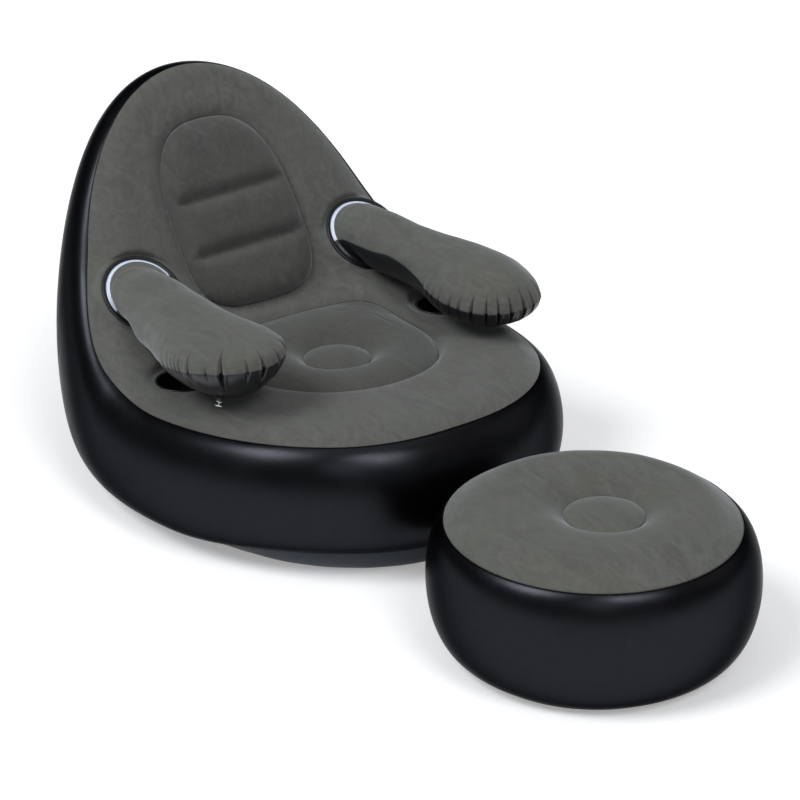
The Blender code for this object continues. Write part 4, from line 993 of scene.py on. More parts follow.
    def seat_button(self) -> bpy.types.Object:
        """Domed button in the middle of the seat."""
        shares = np.linspace(1, 0.12, 12)
        angle = turn_steps(self.button_columns)
        radius = self.button_radius - self.edge_gap
        middle = np.array([self.button_x, self.button_s])
        places = np.stack([radius * shares[:, None] * np.sin(angle),
                           -radius * shares[:, None] * np.cos(angle)], axis=-1).reshape(-1, 2)
        places = np.concatenate([places, [[0.0, 0.0]]]) + middle
        away = np.hypot(*(places - middle).T) / radius
        height = -self.button_depth + self.button_dome * (1 - away ** 2.4)
        points = self.sheet.point(places, height)
        points[:, 2] += 0.0005 * ripples(points, 0.03, 2.0) * smooth((1 - away) * 3)
        faces = disc_faces(len(shares), self.button_columns)
        piece = add_piece("seat_button_disc", points, faces, self.fit("seat_button"), FLOCK_FILM)
        return piece

    def cushion_height(self, places: Array) -> Array:
        """Height of the back cushion over the bare bend."""
        sheet = self.sheet
        distance, _ = distance_to(sheet.cushion, places)
        rise = np.sqrt(1 - (1 - np.minimum(distance / self.cushion_edge, 1.0)) ** 2)
        height = -sheet.cushion_depth + self.cushion_crown * rise
        low = sheet.cushion_s - sheet.cushion_lower
        for share in self.channel_shares:
            s = low + share * (sheet.cushion_lower + sheet.cushion_upper)
            gap = np.abs(places[:, 1] - s - self.channel_tilt * places[:, 0])
            hold = smooth((distance - self.channel_end) / self.channel_fade)
            fall = np.exp(-(gap / (self.channel_width * (0.4 + 0.6 * hold))) ** 1.5)
            height = height - self.channel_depth * fall * hold
        return height

    def back_cushion(self) -> bpy.types.Object:
        """Back cushion with its three lobes."""
        sheet = self.sheet
        outline = grown(sheet.cushion, -self.edge_gap)
        places, faces = filled(outline, [], self.edge_rows[:-1], self.cushion_spacing)
        height = self.cushion_height(places)
        points = sheet.point(places, height)
        _, climb = sheet.bend(places)
        held = smooth(distance_to(outline, places)[0] / self.cushion_hold)
        swell = swelling(points, (0.0010, 0.08, 6.0), (0.0004, 0.03, 9.0))
        points = points + sheet.normal(climb) * (held * swell)[:, None]
        piece = add_piece("back_cushion_skin", points, faces, self.fit("back_cushion"), FLOCK_FILM)
        return piece

    def core(self) -> bpy.types.Object:
        """Inner tube that holds the button down."""
        sheet = self.sheet
        top = sheet.deck_height - self.button_depth - self.core_gap
        y = sheet.crease_y + self.button_s
        points, faces = core_tube(self.button_x, y, self.button_radius - self.core_gap, top)
        fitting = Fitting(CHAIR, ("seat_core_tube",), "inner_film", self.finishes.inner)
        return add_piece("seat_core_film", points, faces, fitting)

    def build(self) -> list[bpy.types.Object]:
        """Make every cover."""
        return [self.deck(), self.seat_ring(), self.seat_button(), self.back_cushion(), self.core()]


# Wall and base of the chair

WALL_SHOULDER = 80
UPRIGHT = np.array([1.0, 1.0, 0.2])


def bulged(low: Array, high: Array, outward: Array, bulge: Array, lift: Array, share: float) -> Array:
    """Places on a wall that bulges between two welds.

    Args:
        low: Places along the lower weld.
        high: Places along the upper weld.
        outward: Level directions off the wall.
        bulge: How far the wall swells, for each place.
        lift: How much of its height the swell moves up, for each place.
        share: Share of the way up, 0 at the lower weld.

    Returns:
        The places.
    """
    shoulder = math.radians(WALL_SHOULDER)
    chord = high - low
    along = unit(chord)
    across = unit(outward - along * (outward * along).sum(axis=1, keepdims=True))
    turn = shoulder * (2 * share - 1)
    climb = 0.5 + 0.5 * math.sin(turn) / math.sin(shoulder)
    climb = climb + lift * 4 * climb * (1 - climb)
    swell = (math.cos(turn) - math.cos(shoulder)) / (1 - math.cos(shoulder))
    return low + chord * np.reshape(climb, (-1, 1)) + across * np.reshape(bulge * swell, (-1, 1))


@dataclass
class Shell:
    """Wall, base band, floor sheet and welds of the chair."""

    sheet: BentSheet
    finishes: Finishes
    base_half_width: float = 0.450
    base_half_length: float = 0.549
    front_weld_height: float = 0.058
    side_weld_height: float = 0.034
    fall_start: float = math.radians(32)
    fall_end: float = math.radians(73)
    tuck_width: float = 0.080
    tuck_length: float = 0.042
    band_bulge: float = 0.003
    front_bulge: float = 0.057
    side_bulge: float = 0.052
    back_bulge: float = 0.100
    bulge_power: float = 2.2
    low_lift: float = -0.08
    back_lift: float = 0.20
    wall_rows: int = 56
    band_rows: int = 16
    sheet_border: float = 0.004
    joint_angle: float = 0.20
    joint_turn: float = 0.028
    joint_edge: float = 0.004
    joint_height: float = 0.0005

    def __post_init__(self) -> None:
        """Work out the wall once, for itself and its welds."""
        angle = self.sheet.seam_angles
        across = np.sin(angle) / self.base_half_width
        ahead = -np.cos(angle) / self.base_half_length
        self.outward = unit(np.stack([across, ahead, np.zeros_like(angle)], axis=1))
        start = math.cos(self.fall_start)
        end = math.cos(self.fall_end)
        self.ahead = smooth((np.cos(angle) - end) / (start - end))
        rise = self.front_weld_height - self.side_weld_height
        self.weld_height = self.side_weld_height + rise * self.ahead
        self.low = self.oval(self.base_half_width, self.base_half_length, self.weld_height)
        self.high = self.sheet.point(self.sheet.seam, -self.sheet.rim_drop_at(angle))
        self.rows = [self.wall_row(share) for share in eased_shares(self.wall_rows, 0.4)]

    def oval(self, half_width: float | Array, half_length: float | Array, height: float | Array) -> Array:
        """Oval about the chair's middle, at the angles of the seam."""
        angle = self.sheet.seam_angles
        return np.stack([half_width * np.sin(angle), -half_length * np.cos(angle),
                         np.broadcast_to(height, angle.shape)], axis=1)

    def wall_row(self, share: float) -> Array:
        """One row of the wall, with the faint pull of its welds."""
        angle = self.sheet.seam_angles
        ahead = np.abs(np.cos(angle)) ** self.bulge_power
        front = np.cos(angle) >= 0
        end_bulge = np.where(front, self.front_bulge, self.back_bulge)
        bulge = self.side_bulge + (end_bulge - self.side_bulge) * ahead
        end_lift = np.where(front, self.low_lift, self.back_lift)
        lift = self.low_lift + (end_lift - self.low_lift) * ahead
        row = bulged(self.low, self.high, self.outward, bulge, lift, share)
        hold = math.sin(math.pi * share)
        swell = 0.0016 * hold * ripples(row, 0.22, 4.0)
        pull = (0.0010 * math.exp(-share / 0.05) + 0.0006 * math.exp(-(1 - share) / 0.03)) * (share > 0)
        swell = swell + pull * ripples(row * UPRIGHT, 0.018, 7.0) * (share < 1)
        past = angle - self.joint_angle
        lap = smooth(past / self.joint_edge) * (1 - smooth((past - self.joint_turn) / self.joint_edge))
        swell = swell + self.joint_height * lap * smooth(np.array(hold * 8))
        return row + self.outward * swell[:, None]

    def wall(self) -> bpy.types.Object:
        """Black wall between the base weld and the flocked sheet."""
        points = np.concatenate(self.rows)
        faces = grid_faces(len(self.rows), len(self.low), closed=True)
        fitting = Fitting(CHAIR, ("side_wall",), "black_film", self.finishes.black)
        return add_piece("side_wall_film", points, faces, fitting, PLAIN_FILM)

    def band(self) -> bpy.types.Object:
        """Blue-grey band that rounds in under the wall to the floor."""
        rows = []
        for share in np.linspace(0.01, 1, self.band_rows):
            turn = share * math.pi / 2
            tuck = (1 - math.cos(turn)) * self.ahead + math.sin(turn) * (1 - self.ahead)
            swell = self.band_bulge * math.sin(2 * turn)
            height = self.weld_height - (self.weld_height - PLAIN_FILM) * math.sin(turn)
            row = self.oval(self.base_half_width - self.tuck_width * tuck + swell,
                            self.base_half_length - self.tuck_length * tuck + swell, height)
            pull = 0.0012 * math.sin(math.pi * share)
            row = row + self.outward * (pull * ripples(row, 0.045, 2.5))[:, None]
            rows.append(row)
        points = np.concatenate(rows)
        faces = grid_faces(len(rows), len(self.low), closed=True, flip=True)
        fitting = Fitting(CHAIR, ("base_band",), "base_film", self.finishes.band)
        return add_piece("base_band_film", points, faces, fitting, PLAIN_FILM)

    def floor_sheet(self) -> bpy.types.Object:
        """Bottom film, flat on the floor."""
        half_width = self.base_half_width - self.tuck_width + self.sheet_border
        half_length = self.base_half_length - self.tuck_length + self.sheet_border
        rings = [self.oval(half_width * share, half_length * share, 0.0) for share in (0.15, 0.4, 0.7, 1.0)]
        points, faces = slab(rings, np.zeros(3), PLAIN_FILM)
        fitting = Fitting(CHAIR, ("floor_sheet",), "black_film", self.finishes.black)
        return add_piece("floor_sheet_film", points, faces, fitting)

    def welds(self) -> list[bpy.types.Object]:
        """Beads where the wall meets the flocked sheet and the base band."""
        rim_fitting = Fitting(CHAIR, ("rim_weld",), "weld_bead", self.finishes.weld)
        up = self.rows[-1] - self.rows[-2]
        outward = unit(self.outward + 0.9 * unit(up))
        thick = BEAD_RADIUS * (1 + 0.12 * ripples(self.high, 0.03, 3.3))
        points, faces = bead(self.high + outward * RIM_STAND, outward, thick)
        rim = add_piece("rim_weld_bead", points, faces, rim_fitting)
        fitting = Fitting(CHAIR, ("base_weld",), "weld_bead", self.finishes.weld)
        thick = BEAD_RADIUS * (1 + 0.15 * ripples(self.low, 0.03, 5.3))
        points, faces = bead(self.low + self.outward * BASE_STAND, self.outward, thick)
        return [rim, add_piece("base_weld_bead", points, faces, fitting)]

    def build(self) -> list[bpy.types.Object]:
        """Make wall, base and welds."""
        return [self.wall(), self.band(), self.floor_sheet(), *self.welds()]


# Arms

@dataclass(frozen=True)
class Gather:
    """Pinched fold across an arm's weld, at a distance along the weld from the arm's tip."""

    place: float
    depth: float
    width: float
    reach: float


@dataclass
class Arm:
    """One arm: ring, collar, flocked top and black underside, gathered round the tip."""

    side: Side
    sheet: BentSheet
    finishes: Finishes
    gathers: tuple[Gather, ...]
    outer_seam: tuple[float, ...]
    inner_seam: tuple[float, ...]
    nose_lift: float
    band_roll: float
    neck_half_width: float
    neck_half_height: float
    root_shift: float
    root_slump: float
    slump_share: float
    seam_stations: tuple[float, ...] = (0.0, 0.30, 0.62, 1.0)
    collar_length: float = 0.020
    sleeve_start: float = 0.0025
    sleeve_radius: float = 0.0745
    sleeve_stations: int = 12
    root_radius: float = 0.0735
    disc_gap: float = 0.0025
    head_half_width: float = 0.113
    head_half_height: float = 0.068
    head_sag: float = 0.004
    tip_y: float = -0.313
    splay: float = 0.038
    splay_share: float = 0.60
    axis_height: float = 0.402
    tip_fall: float = 0.004
    straight_share: float = 0.25
    neck_share: float = 0.30
    head_share: float = 0.75
    tip_share: float = 0.70
    tip_power: float = 2.3
    lobe_height: float = 0.13
    lobe_limit: float = 0.035
    lobe_reach: float = 0.022
    pinch: float = 1.9
    long_stations: int = 96
    tip_stations: int = 120
    upper_columns: int = 84
    lower_columns: int = 64
    edge_radius: float = 0.0007
    disc_columns: int = 72
    collar_columns: int = 61
    bore_radius: float = 0.0822
    ring_height: float = 0.0045
    ring_depth: float = 0.006

    @property
    def body(self) -> str:
        """Body that the arm swings with."""
        return f"{self.side.label}_arm"

    def frame_at(self, share: Array) -> tuple[Array, Array, Array, Array, Array]:
        """Centre, half width, half height, up direction and full height of the arm's sections."""
        pad = self.sheet.sockets[self.side]
        root = pad.centre + pad.normal * self.collar_length
        lean = math.atan2(pad.along[2], pad.along[1])
        back = np.clip(-share, 0.0, 1.0) * (self.collar_length - self.sleeve_start)
        narrow = np.clip(-share, 0.0, 1.0) ** 1.5 * (self.root_radius - self.sleeve_radius)
        slump = smooth(share + 1.0) * (1 - smooth(share / self.slump_share))
        share = np.maximum(share, 0.0)
        straight = smooth(share / self.straight_share)
        neck = smooth(share / self.neck_share)
        head = smooth((share - self.neck_share) / (self.head_share - self.neck_share))
        width = self.root_radius - narrow + (self.neck_half_width - self.root_radius) * neck
        width = width + (self.head_half_width - self.neck_half_width) * head
        height = self.root_radius - narrow + (self.neck_half_height - self.root_radius) * straight
        height = height + (self.head_half_height - self.neck_half_height) * head
        closing = np.clip((share - self.tip_share) / (1 - self.tip_share), 0.0, 1.0)
        taper = (1 - closing ** self.tip_power) ** (1 / self.tip_power)
        tilt = lean + (math.pi / 2 - lean) * straight
        x = self.side.value * (abs(root[0]) + self.splay * smooth(share / self.splay_share))
        y = root[1] + (self.tip_y - root[1]) * share
        z = root[2] + (self.axis_height - root[2]) * straight - self.tip_fall * share - self.head_sag * head
        up = np.stack([np.zeros_like(tilt), np.cos(tilt), np.sin(tilt)], axis=-1)
        centre = np.stack([x, y, z], axis=-1) - back[..., None] * pad.normal
        centre = centre + slump[..., None] * (np.array([self.side.value * self.root_shift, 0.0, 0.0])
                                              - self.root_slump * pad.along)
        return centre, width * taper, height * taper, up, height

    def stations(self) -> Array:
        """Shares of the arm's length, below 0 in the collar and close together where the tip closes."""
        sleeve = np.linspace(-1, 0, self.sleeve_stations, endpoint=False)
        straight = np.linspace(0, self.tip_share, self.long_stations, endpoint=False)
        turn = np.linspace(0, math.pi / 2, self.tip_stations, endpoint=False)
        closing = np.sin(turn) ** (2 / self.tip_power)
        return np.concatenate([sleeve, straight, self.tip_share + (1 - self.tip_share) * closing])

    def surface(self) -> tuple[Array, Faces, int]:
        """Whole skin of the arm before it is gathered.

        Returns:
            Places in rows from root to tip with the tip last, faces, and columns in a row.
        """
        share = self.stations()
        centre, width, height, up, full = self.frame_at(share)
        outer = np.radians(np.interp(share, self.seam_stations, self.outer_seam))
        inner = np.radians(np.interp(share, self.seam_stations, self.inner_seam))
        upper = np.linspace(0, 1, self.upper_columns, endpoint=False)
        lower = np.linspace(0, 1, self.lower_columns, endpoint=False)
        over = outer[:, None] + (math.pi - inner - outer)[:, None] * upper
        under = (math.pi - inner)[:, None] + (math.pi + inner + outer)[:, None] * lower
        angle = np.concatenate([over, under], axis=1)
        across = self.side.value * width[:, None] * np.cos(angle)
        points = centre[:, None, :] + across[..., None] * np.array([1.0, 0.0, 0.0])
        points = points + up[:, None, :] * (height[:, None] * np.sin(angle))[..., None]
        level = (points[..., 2] - centre[:, None, 2]) / full[:, None]
        nose = smooth((share - self.neck_share) / (1 - self.neck_share))[:, None]
        points[..., 2] += self.nose_lift * nose * np.clip(1 - level ** 2, 0.0, 1.0)
        tip = self.frame_at(np.array([1.0]))[0][0] + np.array([0, 0, self.nose_lift])
        columns = angle.shape[1]
        flip = self.side is Side.LEFT
        faces = grid_faces(len(share), columns, closed=True, flip=flip)
        last = (len(share) - 1) * columns
        faces += fan_faces(range(last, last + columns), len(share) * columns, flip=flip)
        return np.concatenate([points.reshape(-1, 3), tip[None]]), faces, columns

    def seam(self, points: Array, columns: int) -> Array:
        """Places along the arm's weld, up its inner side and back down its outer one."""
        starts = np.arange((len(points) - 1) // columns) * columns
        return np.concatenate([points[starts + self.upper_columns], points[-1:], points[starts][::-1]])

    def gathered(self, points: Array, faces: Faces, columns: int) -> Array:
        """Pinch folds across the weld and let the film swell between them."""
        rows = (len(points) - 1) // columns
        seam = self.seam(points, columns)
        steps = np.linalg.norm(np.diff(seam, axis=0), axis=1)
        length = np.concatenate([[0], np.cumsum(steps)])
        length -= length[rows]
        away, step = distance_to(seam, points, closed=False)
        along = np.interp(step, np.arange(len(seam)), length)
        places = np.array(sorted(gather.place for gather in self.gathers))
        after = np.clip(np.searchsorted(places, along), 1, len(places) - 1)
        span = places[after] - places[after - 1]
        share = np.clip((along - places[after - 1]) / span, 0.0, 1.0)
        lobe = np.minimum(span, self.lobe_limit) * self.lobe_height * np.sin(math.pi * share) ** 0.6
        ends = smooth((along - places[0]) / 0.02) * smooth((places[-1] - along) / 0.02)
        move = lobe * ends * np.exp(-away / self.lobe_reach)
        for gather in self.gathers:
            taper = np.clip(1 - away / gather.reach, 0.0, 1.0)
            width = gather.width * (0.30 + 0.60 * taper)
            gap = np.abs(along - gather.place)
            fold = np.exp(-(gap / width) ** 1.5)
            shoulder = np.exp(-((gap - 2.4 * width) / (1.3 * width)) ** 2)
            move = move - self.pinch * gather.depth * taper ** 0.8 * (fold - 0.25 * shoulder)
        hold = smooth(np.repeat(np.arange(rows) - self.sleeve_stations, columns) / 10.0)
        hold = np.concatenate([hold, [1.0]])
        swell = swelling(points, (0.0014, 0.07, 11.0 + self.side.value), (0.0005, 0.025, 4.0))
        normals = vertex_normals(points, faces)
        return points + normals * (hold * (move + swell * smooth(away / 0.02)))[:, None]

    def films(self) -> list[bpy.types.Object]:
        """Flocked top and black underside, split at the weld."""
        points, faces, columns = self.surface()
        points = self.gathered(points, faces, columns)
        label = self.side.label
        made = []
        tip = len(points) - 1
        parts = (("top", "arm_flock", self.finishes.arm_flock, FLOCK_FILM),
                 ("underside", "black_film", self.finishes.under, PLAIN_FILM))
        for part, slot, material, film in parts:
            kept = []
            for face in faces:
                column = [index % columns for index in face if index != tip]
                middle = min(column) if max(column) - min(column) < columns / 2 else max(column)
                if (middle < self.upper_columns) == (part == "top"):
                    kept.append(face)
            used = sorted({index for face in kept for index in face})
            order = {index: place for place, index in enumerate(used)}
            own = [tuple(order[index] for index in face) for face in kept]
            fitting = Fitting(None, (f"{label}_arm_{part}",), slot, material)
            piece = add_piece(f"{label}_arm_{part}_film", points[used], own, fitting, film)
            made.append(self.bending(piece))
        return [*made, self.seam_edge(self.seam(points, columns))]

    def bending(self, piece: bpy.types.Object) -> bpy.types.Object:
        """Bake a piece's place in the world into its mesh."""
        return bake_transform(piece)

    def seam_edge(self, seam: Array) -> bpy.types.Object:
        """Thin cut edge of the film along the arm's weld."""
        middle = self.frame_at(np.array([0.6]))[0][0]
        outward = unit((seam - middle) * np.array([1.0, 0.35, 0.0]) + 1e-6)
        keep = np.arange(0, len(seam), 2)
        points, faces = bead(seam[keep], outward[keep], self.edge_radius, closed=False, sides=6)
        fitting = Fitting(None, (), "weld_bead", self.finishes.inner)
        return self.bending(add_piece(f"{self.side.label}_arm_seam_edge", points, faces, fitting))

    def root_disc(self) -> bpy.types.Object:
        """Inner film that closes the arm's air chamber at its root."""
        centre, width, height, up, _ = (item[0] for item in self.frame_at(np.array([0.0])))
        angle = turn_steps(self.disc_columns)
        rows = []
        for share in (1.0, 0.66, 0.33):
            reach = share * (1 - self.disc_gap / self.root_radius)
            across = (width * reach * np.cos(angle))[:, None] * np.array([1.0, 0.0, 0.0])
            rows.append(centre + across + (height * reach * np.sin(angle))[:, None] * up)
        points = np.concatenate([*rows, centre[None]])
        faces = disc_faces(len(rows), len(angle))
        name = f"{self.side.label}_arm_root_disc"
        fitting = Fitting(self.body, (name,), "inner_film", self.finishes.inner)
        return add_piece(f"{name}_film", points, faces, fitting, PLAIN_FILM)

    def collar(self) -> list[bpy.types.Object]:
        """Pale upper and black lower half of the collar, flat in the ring and turned up at the arm."""
        pad = self.sheet.sockets[self.side]
        label = self.side.label
        bore = self.bore_radius
        sleeve = self.sleeve_radius
        profile = [(bore - 0.0004, -0.0030), (bore - 0.0004, 0.0010), (bore - 0.0014, 0.0026),
                   (sleeve + 0.0030, 0.0036), (sleeve + 0.0012, 0.0042), (sleeve + 0.0003, 0.0056)]
        radius, height = np.array(profile).T
        start = math.radians(self.band_roll)
        made = []
        halves = (("band", start, start + math.pi, "pale_weld_edge", self.finishes.collar),
                  ("cuff", start + math.pi, start + FULL_TURN, "black_film", self.finishes.under))
        for part, low, high, slot, material in halves:
            angle = np.linspace(low, high, self.collar_columns)
            across = self.side.value * radius[:, None] * np.cos(angle)
            points = pad.centre + across[..., None] * np.array([1.0, 0.0, 0.0])
            points = points + pad.along * (radius[:, None] * np.sin(angle))[..., None]
            points = points + pad.normal * height[:, None, None]
            faces = grid_faces(len(radius), len(angle), closed=False, flip=self.side is Side.LEFT)
            name = f"{label}_arm_{part}"
            fitting = Fitting(None, (name,), slot, material)
            piece = add_piece(f"{name}_film", points.reshape(-1, 3), faces, fitting, PLAIN_FILM)
            made.append(self.bending(piece))
        return made

    def ring(self) -> bpy.types.Object:
        """Black moulded ring that the collar is welded into."""
        pad = self.sheet.sockets[self.side]
        outer = self.sheet.socket_radius
        corners = [(self.bore_radius, -self.ring_depth), (outer, -self.ring_depth),
                   (outer, self.ring_height), (self.bore_radius, self.ring_height)]
        place = standing_frame(pad.centre, pad.normal)
        points, faces = turned(rounded(corners, 0.0022, 6), place, 120)
        fitting = Fitting(CHAIR, (f"{self.side.label}_arm_socket",), "black_film", self.finishes.under)
        return add_piece(f"{self.side.label}_arm_ring", points, faces, fitting)

    def build(self) -> list[bpy.types.Object]:
        """Make the arm with its collar and ring."""
        return [*self.films(), self.root_disc(), *self.collar(), self.ring()]


# Cup holders and valves

@dataclass
class CupHolder:
    """Film cup in a stiff rim, set into the deck."""

    side: Side
    sheet: BentSheet
    finishes: Finishes
    bore: float = 0.050
    base: float = 0.046
    depth: float = 0.085
    wall: float = 0.0012
    rim_height: float = 0.0025
    rim_depth: float = 0.006
    crumple: float = 0.018

    def build(self) -> list[bpy.types.Object]:
        """Make the cup."""
        pad = self.sheet.cups[self.side]
        outer = self.sheet.cup_radius
        inner = self.bore + self.wall
        corners = [(0, -self.depth), (self.base, -self.depth), (inner, -self.rim_depth),
                   (outer, -self.rim_depth), (outer, self.rim_height), (inner, self.rim_height),
                   (self.bore, 0), (self.bore, -self.rim_depth),
                   (self.base - self.wall, self.wall - self.depth), (0, self.wall - self.depth)]
        centre = pad.centre
        points, faces = turned(rounded(corners, 0.0018, 5), standing_frame(centre, pad.normal), 96)
        away = np.hypot(points[:, 0] - centre[0], points[:, 1] - centre[1])
        low = smooth((centre[2] - 0.01 - points[:, 2]) / 0.02) * smooth(away / 0.03)
        crumple = self.crumple * low * ripples(points, 0.022, 3.0)
        points[:, :2] += (points[:, :2] - centre[:2]) * crumple[:, None]
        fitting = Fitting(CHAIR, (f"{self.side.label}_cup_holder",), "black_film", self.finishes.under)
        return [add_piece(f"{self.side.label}_cup_film", points, faces, fitting)]


@dataclass
class Valve:
    """Moulded air valve with a clear plug, set where the frame has it."""

    prefix: str
    body: str
    plug_body: str
    joint: str
    finishes: Finishes
    flange: float = 0.010
    neck: float = 0.0050
    bore: float = 0.0032
    lip: float = 0.006
    cap: float = 0.0055
    flange_thickness: float = 0.0012
    stem_inside: float = 0.012
    gap: float = 0.0003
    shift: Place = (0.0, 0.0, 0.0)
    plug_cap: float = 0.0022
    handle_length: float = 0.014
    handle_height: float = 0.008
    handle_thickness: float = 0.0022

    def place(self) -> Matrix:
        """Frame of the valve, read from its node and its plug's joint."""
        joint = next(item for item in frame["joints"] if item["name"] == self.joint)
        normal = unit(np.array(joint["axis"], dtype=float))
        mesh = frame["nodes"][f"{self.prefix}_valve"].data
        points = np.array([tuple(vertex.co) for vertex in mesh.vertices])
        reach = points @ normal
        low = points[reach < reach.min() + 0.0005].mean(axis=0)
        middle = low + normal * self.stem_inside + np.array(self.shift)
        return standing_frame(middle, normal)

    def build(self) -> list[bpy.types.Object]:
        """Make the valve, its plug and the plug's handle."""
        place = self.place()
        top = self.gap + self.flange_thickness
        corners = [(self.bore, -self.stem_inside), (self.neck, -self.stem_inside), (self.neck, self.gap),
                   (self.flange, self.gap), (self.flange, top), (self.neck, top), (self.neck, self.lip),
                   (self.bore, self.lip)]
        points, faces = turned(rounded(corners, 0.0006, 3), place, 40)
        fitting = Fitting(self.body, (f"{self.prefix}_valve",), "valve_moulding", self.finishes.moulding)
        valve = add_piece(f"{self.prefix}_valve_moulding", points, faces, fitting)
        seat = self.lip + self.gap
        pin = self.bore - self.gap
        low = self.lip - (self.lip + self.stem_inside) * 0.75
        corners = [(0, low), (pin, low), (pin, seat), (self.cap, seat), (self.cap, seat + self.plug_cap),
                   (0, seat + self.plug_cap)]
        points, faces = turned(rounded(corners, 0.0006, 3), place, 40)
        fitting = Fitting(self.plug_body, (f"{self.prefix}_valve_plug",), "clear_plug", self.finishes.clear)
        plug = add_piece(f"{self.prefix}_plug", points, faces, fitting)
        base = seat + self.plug_cap
        stem = self.handle_height - self.handle_thickness
        return [valve, plug, self.bar(0, place, self.handle_thickness / 2, base, stem),
                self.bar(1, place, self.handle_length / 2, base + stem, self.handle_thickness)]

    def bar(self, index: int, place: Matrix, half: float, foot: float, height: float) -> bpy.types.Object:
        """Bar of the plug's T handle, with soft edges.

        Args:
            index: Number of the bar, in its name.
            place: Frame of the valve.
            half: Half the bar's length across the plug.
            foot: Height at which it begins.
            height: Its own height.

        Returns:
            The new object.
        """
        side = self.handle_thickness / 2
        points = [tuple(place @ Vector((across * half, along * side, foot + up * height)))
                  for up in (0, 1) for along in (-1, 1) for across in (-1, 1)]
        faces = [(0, 2, 3, 1), (4, 5, 7, 6), (0, 1, 5, 4), (2, 6, 7, 3), (0, 4, 6, 2), (1, 3, 7, 5)]
        fitting = Fitting(self.plug_body, (), "clear_plug", self.finishes.clear)
        piece = add_piece(f"{self.prefix}_plug_handle_{index}", np.array(points), faces, fitting)
        edge = piece.modifiers.new("soft_edge", "BEVEL")
        edge.width = 0.0006
        edge.segments = 3
        return piece


# Footstool

